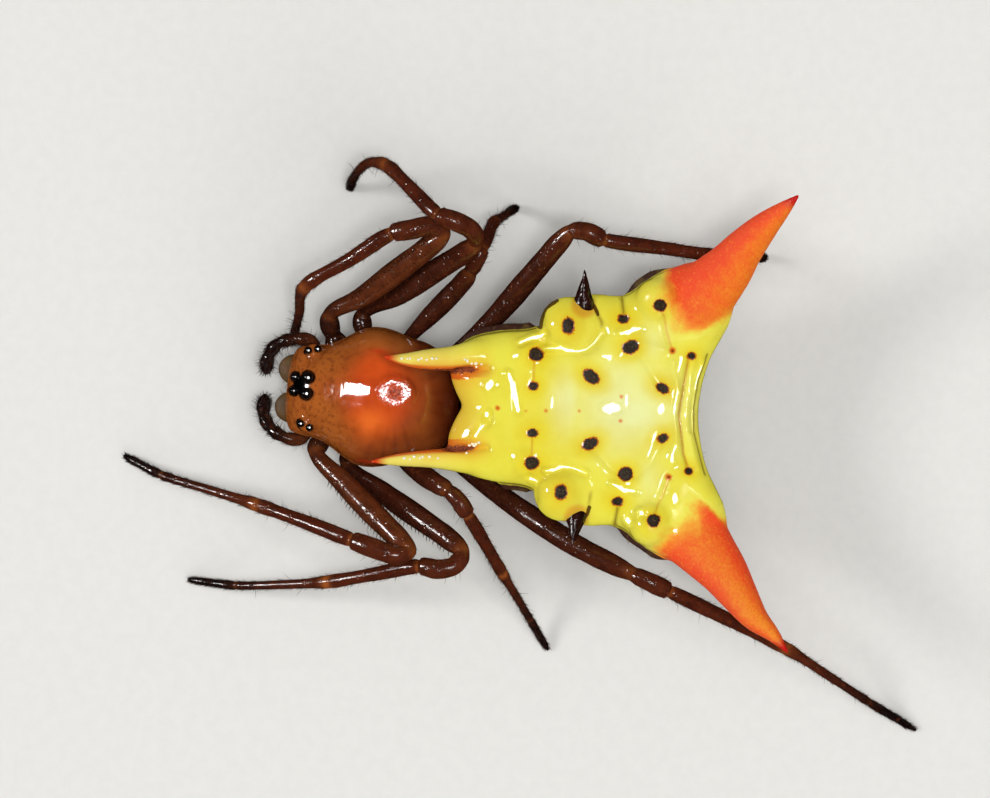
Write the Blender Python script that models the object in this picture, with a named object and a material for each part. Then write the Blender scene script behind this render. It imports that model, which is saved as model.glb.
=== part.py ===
"""A spiny orb weaver at life size, standing on the ground with its eight legs spread.

The head faces -Y, +Z is up and the feet stand at Z = 0. The origin is on the ground, below the
middle of the animal. Every length below is in millimetres; each finished mesh is scaled to metres.
"""

import math

import bmesh
import bpy
from mathutils import Matrix, Vector

MM = 0.001
NAME = "spiny_orb_weaver"

# Gaps between neighbouring pieces
GAP = 0.08
EYE_GAP = 0.03

# Front part of the body: its middle on the ground plan, and the way the head points
PROSOMA_X = -0.98
PROSOMA_Y = -2.93
PROSOMA_YAW = math.radians(6.0)

# Carapace: half width and height of the top at stations from the rear to the front
CARAPACE_FLOOR = 1.42
CARAPACE_RIM_DROP = 0.1
CARAPACE_ROUNDNESS = 2.3
CARAPACE_SIDES = 28
CARAPACE_STATIONS = (
    (-1.68, 0.26, 1.60),
    (-1.55, 0.52, 1.90),
    (-1.30, 0.83, 2.24),
    (-1.00, 1.06, 2.52),
    (-0.60, 1.24, 2.74),
    (-0.15, 1.36, 2.80),
    (0.20, 1.36, 2.72),
    (0.45, 1.25, 2.58),
    (0.70, 1.09, 2.45),
    (1.00, 0.94, 2.34),
    (1.30, 0.89, 2.22),
    (1.52, 0.84, 2.04),
    (1.66, 0.76, 1.84),
)
CARAPACE_REAR = -1.74
CARAPACE_FRONT = 1.72
CARAPACE_END_HEIGHT = 1.5

# Eyes: name, distance ahead, distance to the left of the mid line, radius
EYES = (
    ("eye_front_middle_left", 1.60, 0.04, 0.095),
    ("eye_front_middle_right", 1.60, -0.24, 0.095),
    ("eye_rear_middle_left", 1.34, 0.07, 0.125),
    ("eye_rear_middle_right", 1.34, -0.25, 0.125),
    ("eye_front_side_left", 1.39, 0.68, 0.075),
    ("eye_front_side_right", 1.39, -0.79, 0.075),
    ("eye_rear_side_left", 1.21, 0.74, 0.075),
    ("eye_rear_side_right", 1.21, -0.84, 0.075),
)
EYE_SINK = 0.35
# Mounds under the side eyes: distance ahead, to the left
SIDE_EYE_MOUNDS = ((1.30, 0.66), (1.30, -0.76))
SIDE_EYE_MOUND_RADIUS = 0.18
SIDE_EYE_MOUND_SINK = 0.06

# Chelicerae: sections from the fang end up to the face (height, ahead, out, depth, width)
CHELICERA_SECTIONS = (
    (0.50, 1.50, 0.22, 0.10, 0.10),
    (0.62, 1.53, 0.30, 0.21, 0.19),
    (0.85, 1.58, 0.36, 0.30, 0.27),
    (1.10, 1.61, 0.38, 0.34, 0.31),
    (1.27, 1.62, 0.38, 0.31, 0.29),
)

# Underside of the front part: middle ahead, height, half length, half width, half height
STERNUM = (-0.25, 1.04, 0.72, 0.38, 0.26)
MOUTHPARTS = (0.84, 0.98, 0.26, 0.36, 0.28)

# Palps: distance ahead, to the left (mirrored for the right one), height and radius
PALP_ROOT = ((1.13, 0.50, 0.98, 0.17), (1.22, 0.78, 1.10, 0.17), (1.40, 0.99, 1.24, 0.17))
PALP_LEFT_ARM = (
    (1.40, 0.99, 1.24, 0.17),
    (1.72, 0.98, 1.34, 0.17),
    (2.02, 0.80, 1.30, 0.18),
    (2.16, 0.54, 1.16, 0.19),
    (2.17, 0.18, 0.96, 0.15),
)
PALP_RIGHT_ARM = (
    (1.40, 0.99, 1.24, 0.17),
    (1.74, 0.98, 1.34, 0.17),
    (2.04, 0.84, 1.30, 0.18),
    (2.18, 0.58, 1.16, 0.19),
    (2.20, 0.24, 0.96, 0.15),
)

# Stalk between the two parts of the body
PEDICEL_RADIUS = 0.25
PEDICEL_HEIGHT = 1.72

# Abdomen: a point of its mid line, and the slight turn of that line from +Y
ABDOMEN_X = -0.76
ABDOMEN_Y = 0.24
ABDOMEN_TURN = math.radians(-1.8)

# Edge of the abdomen's shield, from the front middle round one side to the rear middle
SHIELD_EDGE = (
    (-1.42, 0.00),
    (-1.52, 0.30),
    (-1.66, 0.62),
    (-1.62, 1.00),
    (-1.28, 1.34),
    (-0.70, 1.50),
    (-0.05, 1.57),
    (0.22, 1.74),
    (0.45, 2.06),
    (0.75, 2.24),
    (1.15, 2.32),
    (1.55, 2.30),
    (1.85, 2.32),
    (2.20, 2.58),
    (2.70, 2.88),
    (3.20, 3.02),
    (3.65, 2.84),
    (3.95, 2.36),
    (3.90, 1.86),
    (3.74, 1.52),
    (3.52, 1.08),
    (3.38, 0.55),
    (3.32, 0.00),
)
SHIELD_FRONT_HEIGHT = 2.82
SHIELD_RISE = 0.11
SHIELD_EDGE_POINTS = 76
# Rings of the abdomen from the top down: share of the shield's edge, height from that edge
ABDOMEN_RINGS = (
    (0.30, 0.34),
    (0.60, 0.31),
    (0.82, 0.24),
    (0.94, 0.14),
    (1.00, -0.04),
    (0.97, -0.24),
    (0.86, -0.46),
    (0.70, -0.78),
    (0.52, -1.18),
    (0.36, -1.62),
    (0.22, -1.98),
    (0.17, -2.08),
)
ABDOMEN_CROWN = 0.35
ABDOMEN_MIDDLE = 1.0
SPINNERET_ALONG = 1.45
ABDOMEN_WAIST = (-0.43, 2.00, 0.64, 0.60, 0.50)

# Rounded lobes along each side: along, out, height from the edge, radius, half height
SIDE_LOBES = (
    (0.67, 1.66, 0.04, 0.59, 0.37),
    (2.48, 2.16, 0.06, 0.50, 0.42),
    (-0.10, 1.02, 0.10, 0.40, 0.30),
)

# Spines as routes of (along, out, height, half width, half height), for each side
FRONT_SPINE_LEFT = (
    (-0.60, 1.02, 2.82, 0.36, 0.30),
    (-1.10, 1.06, 2.84, 0.32, 0.28),
    (-1.60, 1.07, 2.84, 0.24, 0.23),
    (-2.10, 1.08, 2.84, 0.175, 0.17),
    (-2.65, 1.12, 2.85, 0.12, 0.12),
    (-3.20, 1.17, 2.84, 0.04, 0.04),
)
FRONT_SPINE_RIGHT = (
    (-0.60, 1.02, 2.86, 0.36, 0.30),
    (-1.10, 1.02, 2.90, 0.33, 0.28),
    (-1.60, 0.94, 2.93, 0.26, 0.24),
    (-2.10, 0.90, 2.95, 0.21, 0.19),
    (-2.60, 0.89, 2.96, 0.12, 0.12),
    (-3.00, 0.93, 2.97, 0.04, 0.04),
)
REAR_SPINE_LEFT = (
    (2.70, 1.90, 3.12, 0.78, 0.36),
    (3.22, 2.36, 3.24, 0.72, 0.36),
    (3.59, 2.77, 3.36, 0.60, 0.35),
    (3.92, 3.15, 3.52, 0.50, 0.33),
    (4.21, 3.56, 3.70, 0.40, 0.29),
    (4.56, 4.03, 3.92, 0.27, 0.22),
    (4.95, 4.38, 4.12, 0.14, 0.13),
    (5.25, 4.72, 4.28, 0.03, 0.03),
)
REAR_SPINE_RIGHT = (
    (2.65, 1.80, 3.14, 0.78, 0.36),
    (3.15, 2.18, 3.26, 0.72, 0.36),
    (3.50, 2.54, 3.40, 0.62, 0.35),
    (3.82, 2.90, 3.58, 0.52, 0.33),
    (4.12, 3.31, 3.78, 0.41, 0.29),
    (4.53, 3.78, 4.04, 0.28, 0.22),
    (4.89, 4.13, 4.26, 0.15, 0.13),
    (5.18, 4.41, 4.44, 0.03, 0.03),
)
SIDE_SPINE_LEFT = (
    (0.95, 1.98, 3.04, 0.26, 0.25),
    (0.94, 2.22, 3.15, 0.25, 0.22),
    (0.92, 2.46, 3.24, 0.13, 0.12),
    (0.89, 2.72, 3.32, 0.03, 0.03),
)
SIDE_SPINE_RIGHT = (
    (0.96, 1.88, 3.06, 0.26, 0.25),
    (0.96, 2.14, 3.20, 0.25, 0.22),
    (0.97, 2.46, 3.28, 0.13, 0.12),
    (0.96, 2.79, 3.33, 0.03, 0.03),
)
SPINE_SIDES = 12
SPINE_STEP = 0.3

# Spinnerets: cones under the abdomen (along, out, radius at the root), and their heights
SPINNERET_CONES = (
    (1.24, 0.15, 0.16),
    (1.24, -0.15, 0.16),
    (1.45, 0.20, 0.13),
    (1.45, -0.20, 0.13),
    (1.66, 0.13, 0.15),
    (1.66, -0.13, 0.15),
)
SPINNERET_DISC_RADIUS = 0.42
SPINNERET_DISC_DEPTH = 0.14
SPINNERET_LENGTH = 0.26

# Legs: radius at the start of each stretch and at the tip of the foot
LEG_RADII = {
    "coxa": 0.20,
    "femur": 0.20,
    "patella": 0.21,
    "tibia": 0.22,
    "metatarsus": 0.20,
    "tarsus": 0.17,
    "tip": 0.11,
}
FEMUR_MIDDLE_RADIUS = 0.245
LEG_SIDES = 8
LEG_STEP = 0.3
LEG_STRETCHES = ("coxa", "femur", "patella", "tibia", "metatarsus", "tarsus")
# Half the gap at the start of a stretch; the knee bends sharply, so its gap is wider
LEG_JOINT_CUTS = {"femur": GAP / 2, "patella": 0.09, "metatarsus": GAP / 2}
LEG_NODES = (
    ("coxa", "coxa", "femur"),
    ("femur", "femur", "patella"),
    ("tibia", "patella", "metatarsus"),
    ("tarsus", "metatarsus", None),
)

# Centre line of each leg, stretch by stretch, out from the body to the foot
LEGS = {
    "leg_right_1": {
        "coxa": ((-1.50, -3.38, 1.14), (-2.06, -3.68, 1.16)),
        "femur": ((-2.62, -3.80, 1.45), (-2.98, -3.16, 1.85), (-3.54, -2.40, 2.45), (-4.00, -1.80, 2.95)),
        "patella": ((-4.26, -1.54, 3.20), (-4.40, -1.76, 3.30), (-4.32, -2.16, 3.35)),
        "tibia": ((-4.24, -2.56, 3.25), (-3.72, -3.40, 2.98)),
        "metatarsus": ((-3.20, -4.28, 2.60), (-2.66, -4.42, 1.45)),
        "tarsus": ((-2.26, -4.52, 0.55), (-1.98, -4.60, -0.12)),
    },
    "leg_right_2": {
        "coxa": ((-1.60, -2.94, 1.12), (-2.16, -3.10, 1.14)),
        "femur": ((-2.64, -3.14, 1.20), (-3.04, -2.40, 1.85), (-3.56, -1.60, 2.55), (-3.86, -1.12, 3.00)),
        "patella": ((-4.06, -0.88, 3.35), (-4.30, -0.96, 3.62), (-4.48, -1.28, 3.78)),
        "tibia": ((-4.62, -1.64, 3.72), (-5.12, -2.16, 3.24)),
        "metatarsus": ((-5.60, -2.66, 2.70), (-5.67, -2.98, 2.30), (-5.52, -3.22, 1.60)),
        "tarsus": ((-5.32, -3.36, 0.85), (-5.14, -3.42, -0.12)),
    },
    "leg_right_3": {
        "coxa": ((-1.56, -2.46, 1.12), (-1.92, -2.36, 1.14)),
        "femur": ((-2.16, -2.22, 1.20), (-2.80, -1.60, 1.72), (-3.26, -1.16, 2.12)),
        "patella": ((-3.50, -0.98, 2.34), (-3.74, -0.86, 2.46)),
        "tibia": ((-3.96, -0.76, 2.46), (-4.26, -0.62, 2.00)),
        "metatarsus": ((-4.48, -0.52, 1.50), (-4.60, -0.34, 1.00)),
        "tarsus": ((-4.70, -0.20, 0.55), (-4.80, -0.04, -0.12)),
    },
    "leg_right_4": {
        "coxa": ((-1.32, -2.04, 1.12), (-1.60, -1.68, 1.14)),
        "femur": ((-1.82, -1.36, 1.20), (-2.48, -0.60, 1.68), (-3.50, 0.30, 2.42), (-4.08, 0.80, 2.82)),
        "patella": ((-4.28, 1.02, 2.98), (-4.28, 1.32, 3.06)),
        "tibia": ((-4.12, 1.68, 3.00), (-3.96, 2.80, 2.75)),
        "metatarsus": ((-3.80, 3.92, 2.36), (-3.78, 4.48, 1.20)),
        "tarsus": ((-3.78, 4.76, 0.55), (-3.78, 4.98, -0.12)),
    },
    "leg_left_1": {
        "coxa": ((-0.62, -3.48, 1.14), (-0.16, -3.92, 1.20)),
        "femur": ((0.12, -4.08, 1.42), (0.76, -3.50, 1.78), (1.48, -2.80, 2.25), (1.88, -2.40, 2.50)),
        "patella": ((2.10, -2.22, 2.62), (2.18, -2.48, 2.68), (2.04, -2.92, 2.62)),
        "tibia": ((1.88, -3.36, 2.45), (1.52, -4.30, 2.00)),
        "metatarsus": ((1.18, -5.26, 1.45), (0.86, -6.30, 0.85)),
        "tarsus": ((0.58, -7.20, 0.42), (0.18, -7.98, 0.03)),
    },
    "leg_left_2": {
        "coxa": ((-0.46, -3.06, 1.12), (-0.02, -3.22, 1.08)),
        "femur": ((0.34, -3.46, 0.96), (0.96, -2.70, 1.40), (1.52, -1.90, 1.95), (1.86, -1.42, 2.25)),
        "patella": ((2.12, -1.16, 2.42), (2.38, -1.30, 2.50), (2.46, -1.64, 2.48)),
        "tibia": ((2.40, -2.00, 2.35), (2.56, -2.90, 1.85)),
        "metatarsus": ((2.72, -3.84, 1.35), (2.78, -4.80, 0.85)),
        "tarsus": ((2.80, -5.70, 0.42), (2.68, -6.70, 0.03)),
    },
    "leg_left_3": {
        "coxa": ((-0.38, -2.58, 1.12), (-0.06, -2.50, 1.14)),
        "femur": ((0.24, -2.38, 1.20), (0.52, -2.02, 1.70), (0.76, -1.66, 2.25)),
        "patella": ((0.90, -1.42, 2.48), (1.10, -1.22, 2.58)),
        "tibia": ((1.38, -1.04, 2.52), (1.98, -0.68, 2.05)),
        "metatarsus": ((2.54, -0.36, 1.55), (3.04, -0.06, 1.00)),
        "tarsus": ((3.48, 0.20, 0.50), (4.12, 0.58, 0.03)),
    },
    "leg_left_4": {
        "coxa": ((-0.52, -2.12, 1.12), (-0.14, -1.74, 1.12)),
        "femur": ((0.20, -1.42, 1.15), (0.84, -0.60, 1.45), (1.92, 1.00, 2.15), (2.36, 1.84, 2.45)),
        "patella": ((2.56, 2.26, 2.58), (2.72, 2.60, 2.62)),
        "tibia": ((2.90, 2.98, 2.50), (3.44, 4.10, 2.10)),
        "metatarsus": ((4.04, 5.30, 1.60), (4.62, 6.20, 1.05)),
        "tarsus": ((5.14, 7.00, 0.50), (5.73, 7.98, 0.03)),
    },
}

# Colours: base colour, roughness
FINISHES = {
    "carapace_shell": ((0.26, 0.055, 0.018, 1.0), 0.25),
    "abdomen_skin": ((0.80, 0.66, 0.06, 1.0), 0.2),
    "leg_shell": ((0.055, 0.018, 0.012, 1.0), 0.3),
    "underside_skin": ((0.10, 0.035, 0.018, 1.0), 0.4),
    "chelicera_shell": ((0.16, 0.07, 0.02, 1.0), 0.3),
    "eye_lens": ((0.006, 0.005, 0.005, 1.0), 0.08),
}


def clear_scene():
    for obj in list(bpy.data.objects):
        bpy.data.objects.remove(obj, do_unlink=True)


def new_collection(name):
    collection = bpy.data.collections.new(name)
    bpy.context.scene.collection.children.link(collection)
    return collection


def finish_material(name):
    """The material of that name, made once from its finish."""
    if name in bpy.data.materials:
        return bpy.data.materials[name]
    color, roughness = FINISHES[name]
    material = bpy.data.materials.new(name)
    material.use_nodes = True
    shader = material.node_tree.nodes["Principled BSDF"]
    shader.inputs["Base Color"].default_value = color
    shader.inputs["Roughness"].default_value = roughness
    shader.inputs["Metallic"].default_value = 0.0
    return material


# Places on the two parts of the body


def on_prosoma(ahead, left, up):
    """A point given from the middle of the front part, in the ground frame."""
    turn = Matrix.Rotation(-PROSOMA_YAW, 3, "Z")
    offset = turn @ Vector((left, -ahead, 0.0))
    return Vector((PROSOMA_X + offset.x, PROSOMA_Y + offset.y, up))


def on_abdomen(along, left, up):
    """A point given along the abdomen's mid line and to its left, in the ground frame."""
    turn = Matrix.Rotation(ABDOMEN_TURN, 3, "Z")
    offset = turn @ Vector((left, along, 0.0))
    return Vector((ABDOMEN_X + offset.x, ABDOMEN_Y + offset.y, up))


# Curves through named points


def smooth_route(points, step):
    """Points about a step apart on a centripetal Catmull-Rom curve through tuples of any size."""
    rows = [Vector(p) for p in points]
    rows = [2 * rows[0] - rows[1], *rows, 2 * rows[-1] - rows[-2]]
    route = []
    for i in range(1, len(rows) - 2):
        p0, p1, p2, p3 = rows[i - 1 : i + 3]
        t1 = math.sqrt(max((p1 - p0).length, 1e-6))
        t2 = t1 + math.sqrt(max((p2 - p1).length, 1e-6))
        t3 = t2 + math.sqrt(max((p3 - p2).length, 1e-6))
        count = max(1, round((p2 - p1).length / step))
        for k in range(count):
            t = t1 + (t2 - t1) * k / count
            a1 = p0.lerp(p1, t / t1)
            a2 = p1.lerp(p2, (t - t1) / (t2 - t1))
            a3 = p2.lerp(p3, (t - t2) / (t3 - t2))
            b1 = a1.lerp(a2, t / t2)
            b2 = a2.lerp(a3, (t - t1) / (t3 - t1))
            route.append(b1.lerp(b2, (t - t1) / (t2 - t1)))
    route.append(rows[-2])
    return route


def trimmed(route, cut_start, cut_end):
    """The route with that length taken off each end."""
    for at_start, cut in ((True, cut_start), (False, cut_end)):
        if cut <= 0:
            continue
        order = route if at_start else route[::-1]
        left = cut
        while (order[1].xyz - order[0].xyz).length <= left:
            left -= (order[1].xyz - order[0].xyz).length
            order = order[1:]
        share = left / (order[1].xyz - order[0].xyz).length
        order = [order[0].lerp(order[1], share), *order[1:]]
        route = order if at_start else order[::-1]
    return route


# Closed meshes, in millimetres


def closed_loft(rings, first_pole=None, last_pole=None):
    """A closed mesh through rings of equal count, each end drawn to a pole or capped flat."""
    mesh = bmesh.new()
    loops = [[mesh.verts.new(p) for p in ring] for ring in rings]
    count = len(rings[0])
    for near, far in zip(loops, loops[1:]):
        for i in range(count):
            j = (i + 1) % count
            mesh.faces.new((near[i], near[j], far[j], far[i]))
    for pole, loop in ((first_pole, loops[0]), (last_pole, loops[-1])):
        if pole is None:
            mesh.faces.new(loop)
            continue
        tip = mesh.verts.new(pole)
        for i in range(count):
            mesh.faces.new((loop[i], loop[(i + 1) % count], tip))
    bmesh.ops.recalc_face_normals(mesh, faces=mesh.faces)
    return mesh


def tube(route, sides):
    """A closed tube of flat ends along (x, y, z, half width, half height)."""
    rings = []
    side = None
    for i, here in enumerate(route):
        ahead = route[min(i + 1, len(route) - 1)].xyz - route[max(i - 1, 0)].xyz
        ahead.normalize()
        if side is None:
            side = ahead.cross(Vector((0, 0, 1)))
            if side.length < 0.2:
                side = ahead.cross(Vector((0, 1, 0)))
        side = (side - ahead * side.dot(ahead)).normalized()
        up = side.cross(ahead)
        ring = []
        for k in range(sides):
            angle = 2 * math.pi * k / sides
            across = side * (math.cos(angle) * here[3]) + up * (math.sin(angle) * here[4])
            ring.append(here.xyz + across)
        rings.append(ring)
    return closed_loft(rings)


class Station(Vector):
    """A vector of a place with a half width and a half height after it."""

    @property
    def xyz(self):
        return Vector(self[:3])


def stations(rows):
    return [Station(row) for row in rows]


def ellipsoid(middle, half_sizes, turn, segments=16, rings=10):
    """A closed ellipsoid, its half sizes along the axes of a turned frame."""
    mesh = bmesh.new()
    bmesh.ops.create_uvsphere(mesh, u_segments=segments, v_segments=rings, radius=1.0)
    place = Matrix.Translation(middle) @ Matrix.Rotation(turn, 4, "Z") @ Matrix.Diagonal((*half_sizes, 1.0))
    bmesh.ops.transform(mesh, matrix=place, verts=mesh.verts)
    return mesh


def cone(bottom, top, bottom_radius, top_radius, sides):
    """A closed cone standing on Z between two heights of the same place."""
    mesh = bmesh.new()
    bmesh.ops.create_cone(
        mesh,
        cap_ends=True,
        segments=sides,
        radius1=bottom_radius,
        radius2=top_radius,
        depth=top.z - bottom.z,
    )
    bmesh.ops.translate(mesh, vec=(bottom + top) / 2, verts=mesh.verts)
    return mesh


def cut_at_ground(mesh):
    """Cuts off what lies below Z = 0 and closes the cut with a flat sole."""
    cut = bmesh.ops.bisect_plane(
        mesh,
        geom=[*mesh.verts, *mesh.edges, *mesh.faces],
        dist=1e-5,
        plane_co=(0, 0, 0),
        plane_no=(0, 0, -1),
        clear_outer=True,
    )
    edges = [e for e in cut["geom_cut"] if isinstance(e, bmesh.types.BMEdge)]
    bmesh.ops.contextual_create(mesh, geom=edges)
    bmesh.ops.recalc_face_normals(mesh, faces=mesh.faces)


def keep_largest_surface(mesh):
    """Removes every closed surface but the one with the most faces."""
    groups = []
    seen = set()
    for start in mesh.verts:
        if start in seen:
            continue
        group = {start}
        edge_of_search = [start]
        while edge_of_search:
            for edge in edge_of_search.pop().link_edges:
                for vert in edge.verts:
                    if vert not in group:
                        group.add(vert)
                        edge_of_search.append(vert)
        seen |= group
        groups.append(group)
    groups.sort(key=len)
    loose = [v for group in groups[:-1] for v in group]
    bmesh.ops.delete(mesh, geom=loose, context="VERTS")


def combined(base, others, operation):
    """The base mesh joined with the others, or cut by them, as one closed mesh."""
    helpers = new_collection("cutters")
    objects = []
    for mesh in (base, *others):
        data = bpy.data.meshes.new("piece")
        mesh.to_mesh(data)
        mesh.free()
        objects.append(bpy.data.objects.new("piece", data))
    body = objects[0]
    bpy.context.scene.collection.objects.link(body)
    for other in objects[1:]:
        other.hide_render = True
        other.display_type = "WIRE"
        helpers.objects.link(other)
    boolean = body.modifiers.new("combine", "BOOLEAN")
    boolean.operation = operation
    boolean.operand_type = "COLLECTION"
    boolean.collection = helpers
    boolean.solver = "EXACT"
    bpy.context.view_layer.update()
    graph = bpy.context.evaluated_depsgraph_get()
    data = bpy.data.meshes.new_from_object(body.evaluated_get(graph))
    result = bmesh.new()
    result.from_mesh(data)
    bpy.data.meshes.remove(data)
    for obj in objects:
        data = obj.data
        bpy.data.objects.remove(obj, do_unlink=True)
        bpy.data.meshes.remove(data)
    bpy.data.collections.remove(helpers)
    bmesh.ops.remove_doubles(result, verts=result.verts, dist=0.002)
    bmesh.ops.dissolve_degenerate(result, edges=result.edges, dist=0.001)
    keep_largest_surface(result)
    return result


def add_node(name, mesh, finish, collection):
    """Makes the object of one finished mesh, scaled from millimetres to metres."""
    bmesh.ops.transform(mesh, matrix=Matrix.Scale(MM, 4), verts=mesh.verts)
    data = bpy.data.meshes.new(name)
    mesh.to_mesh(data)
    mesh.free()
    data.shade_smooth()
    data.set_sharp_from_angle(angle=math.radians(50))
    data.materials.append(finish_material(finish))
    obj = bpy.data.objects.new(name, data)
    collection.objects.link(obj)
    return obj


# Front part of the body


def carapace_station(ahead):
    """Half width and top height of the carapace at that distance ahead of its middle."""
    rows = CARAPACE_STATIONS
    ahead = min(max(ahead, rows[0][0]), rows[-1][0])
    for near, far in zip(rows, rows[1:]):
        if ahead <= far[0]:
            share = (ahead - near[0]) / (far[0] - near[0])
            return (
                near[1] + share * (far[1] - near[1]),
                near[2] + share * (far[2] - near[2]),
            )
    return rows[-1][1:]


def carapace_height(ahead, left):
    """Height of the carapace's upper face at a place within its edge."""
    half_width, top = carapace_station(ahead)
    share = min(abs(left) / half_width, 1.0)
    arch = (1.0 - share**CARAPACE_ROUNDNESS) ** (1.0 / CARAPACE_ROUNDNESS)
    return CARAPACE_FLOOR + (top - CARAPACE_FLOOR) * arch


def carapace_ring(ahead, half_width, top):
    ring = []
    power = 2.0 / CARAPACE_ROUNDNESS
    for k in range(CARAPACE_SIDES):
        angle = 2 * math.pi * k / CARAPACE_SIDES
        across = math.copysign(abs(math.cos(angle)) ** power, math.cos(angle)) * half_width
        rise = abs(math.sin(angle)) ** power
        if math.sin(angle) >= 0:
            up = CARAPACE_FLOOR + rise * (top - CARAPACE_FLOOR)
        else:
            up = CARAPACE_FLOOR - abs(math.sin(angle)) * CARAPACE_RIM_DROP
        ring.append(on_prosoma(ahead, across, up))
    return ring


def mound_middle(ahead, left):
    return on_prosoma(ahead, left, carapace_height(ahead, left) - SIDE_EYE_MOUND_SINK)


def eye_middle(ahead, left, radius):
    """Middle of an eye that stands out of the carapace or of a mound by part of its radius."""
    height = carapace_height(ahead, left)
    for mound_ahead, mound_left in SIDE_EYE_MOUNDS:
        away = math.hypot(ahead - mound_ahead, left - mound_left)
        if away < SIDE_EYE_MOUND_RADIUS:
            rise = math.sqrt(SIDE_EYE_MOUND_RADIUS**2 - away**2)
            height = max(height, mound_middle(mound_ahead, mound_left).z + rise)
    return on_prosoma(ahead, left, height + radius * EYE_SINK)


def make_carapace(collection):
    shell = closed_loft(
        [carapace_ring(*row) for row in CARAPACE_STATIONS],
        on_prosoma(CARAPACE_REAR, 0.0, CARAPACE_END_HEIGHT),
        on_prosoma(CARAPACE_FRONT, 0.0, CARAPACE_END_HEIGHT),
    )
    mounds = []
    for ahead, left in SIDE_EYE_MOUNDS:
        sizes = (SIDE_EYE_MOUND_RADIUS, SIDE_EYE_MOUND_RADIUS, SIDE_EYE_MOUND_RADIUS)
        mounds.append(ellipsoid(mound_middle(ahead, left), sizes, -PROSOMA_YAW, 12, 8))
    shell = combined(shell, mounds, "UNION")
    sockets = []
    for _, ahead, left, radius in EYES:
        reach = radius + EYE_GAP
        sockets.append(ellipsoid(eye_middle(ahead, left, radius), (reach, reach, reach), 0.0, 10, 8))
    shell = combined(shell, sockets, "DIFFERENCE")
    add_node("carapace", shell, "carapace_shell", collection)


def make_eyes(collection):
    for name, ahead, left, radius in EYES:
        ball = ellipsoid(eye_middle(ahead, left, radius), (radius, radius, radius), 0.0, 10, 8)
        add_node(name, ball, "eye_lens", collection)


def make_chelicerae(collection):
    for name, side in (("left", 1), ("right", -1)):
        rings = []
        for up, ahead, out, depth, width in CHELICERA_SECTIONS:
            ring = []
            for k in range(16):
                angle = 2 * math.pi * k / 16
                ahead_here = ahead + depth * math.sin(angle)
                ring.append(on_prosoma(ahead_here, side * (out + width * math.cos(angle)), up))
            rings.append(ring)
        _, ahead, out, depth, width = CHELICERA_SECTIONS[-1]
        top = CARAPACE_FLOOR - CARAPACE_RIM_DROP - GAP
        crown = [p.lerp(on_prosoma(ahead, side * out, top), 0.35) for p in rings[-1]]
        for point in crown:
            point.z = top
        add_node(f"chelicera_{name}", closed_loft([*rings, crown]), "chelicera_shell", collection)


def make_underside(collection):
    for name, sizes in (("sternum", STERNUM), ("mouthparts", MOUTHPARTS)):
        ahead, up, half_length, half_width, half_height = sizes
        plate = ellipsoid(
            on_prosoma(ahead, 0.0, up),
            (half_width, half_length, half_height),
            -PROSOMA_YAW,
        )
        add_node(name, plate, "underside_skin", collection)


def make_palps(collection):
    for name, side, arm in (("left", 1, PALP_LEFT_ARM), ("right", -1, PALP_RIGHT_ARM)):
        for part, rows in (("root", PALP_ROOT), ("arm", arm)):
            route = []
            for ahead, left, up, radius in rows:
                route.append((*on_prosoma(ahead, side * left, up), radius, radius))
            route = stations(smooth_route(route, 0.16))
            cut_end = GAP / 2 if part == "root" else 0.0
            cut_start = GAP / 2 if part == "arm" else 0.0
            limb = tube(trimmed(route, cut_start, cut_end), LEG_SIDES)
            add_node(f"palp_{name}_{part}", limb, "leg_shell", collection)


# Abdomen


def shield_height(along):
    return SHIELD_FRONT_HEIGHT + SHIELD_RISE * (along - SHIELD_EDGE[0][0])


def shield_outline():
    """Evenly spread points of the shield's edge, all the way round, as (along, left)."""
    right_way = list(SHIELD_EDGE)
    whole = right_way + [(along, -out) for along, out in reversed(right_way[1:-1])]
    closed = [*whole[-2:], *whole, *whole[:2]]
    dense = smooth_route([(along, out, 0.0) for along, out in closed], 0.05)
    start = min(range(len(dense) // 4), key=lambda i: (dense[i] - Vector((*whole[0], 0.0))).length)
    later = range(3 * len(dense) // 4, len(dense))
    end = min(later, key=lambda i: (dense[i] - Vector((*whole[0], 0.0))).length)
    loop = dense[start : end + 1]
    lengths = [0.0]
    for a, b in zip(loop, loop[1:]):
        lengths.append(lengths[-1] + (b - a).length)
    outline = []
    i = 0
    for k in range(SHIELD_EDGE_POINTS):
        wanted = lengths[-1] * k / SHIELD_EDGE_POINTS
        while lengths[i + 1] < wanted:
            i += 1
        share = (wanted - lengths[i]) / (lengths[i + 1] - lengths[i])
        point = loop[i].lerp(loop[i + 1], share)
        outline.append((point.x, point.y))
    return outline


def abdomen_body():
    outline = shield_outline()
    rings = []
    lowest = ABDOMEN_RINGS[-1][1]
    for scale, lift in ABDOMEN_RINGS:
        depth = min(0.0, lift) / lowest
        middle = ABDOMEN_MIDDLE + depth * (SPINNERET_ALONG - ABDOMEN_MIDDLE)
        ring = []
        for along, left in outline:
            here = middle + scale * (along - middle)
            tilt = shield_height(here) * (1.0 - depth) + shield_height(ABDOMEN_MIDDLE) * depth
            ring.append(on_abdomen(here, scale * left, tilt + lift))
        rings.append(ring)
    crown = on_abdomen(ABDOMEN_MIDDLE, 0.0, shield_height(ABDOMEN_MIDDLE) + ABDOMEN_CROWN)
    return closed_loft(rings, first_pole=crown)


def spine(rows, side):
    route = [(*on_abdomen(along, side * out, up), wide, high) for along, out, up, wide, high in rows]
    return tube(stations(smooth_route(route, SPINE_STEP)), SPINE_SIDES)


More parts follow.
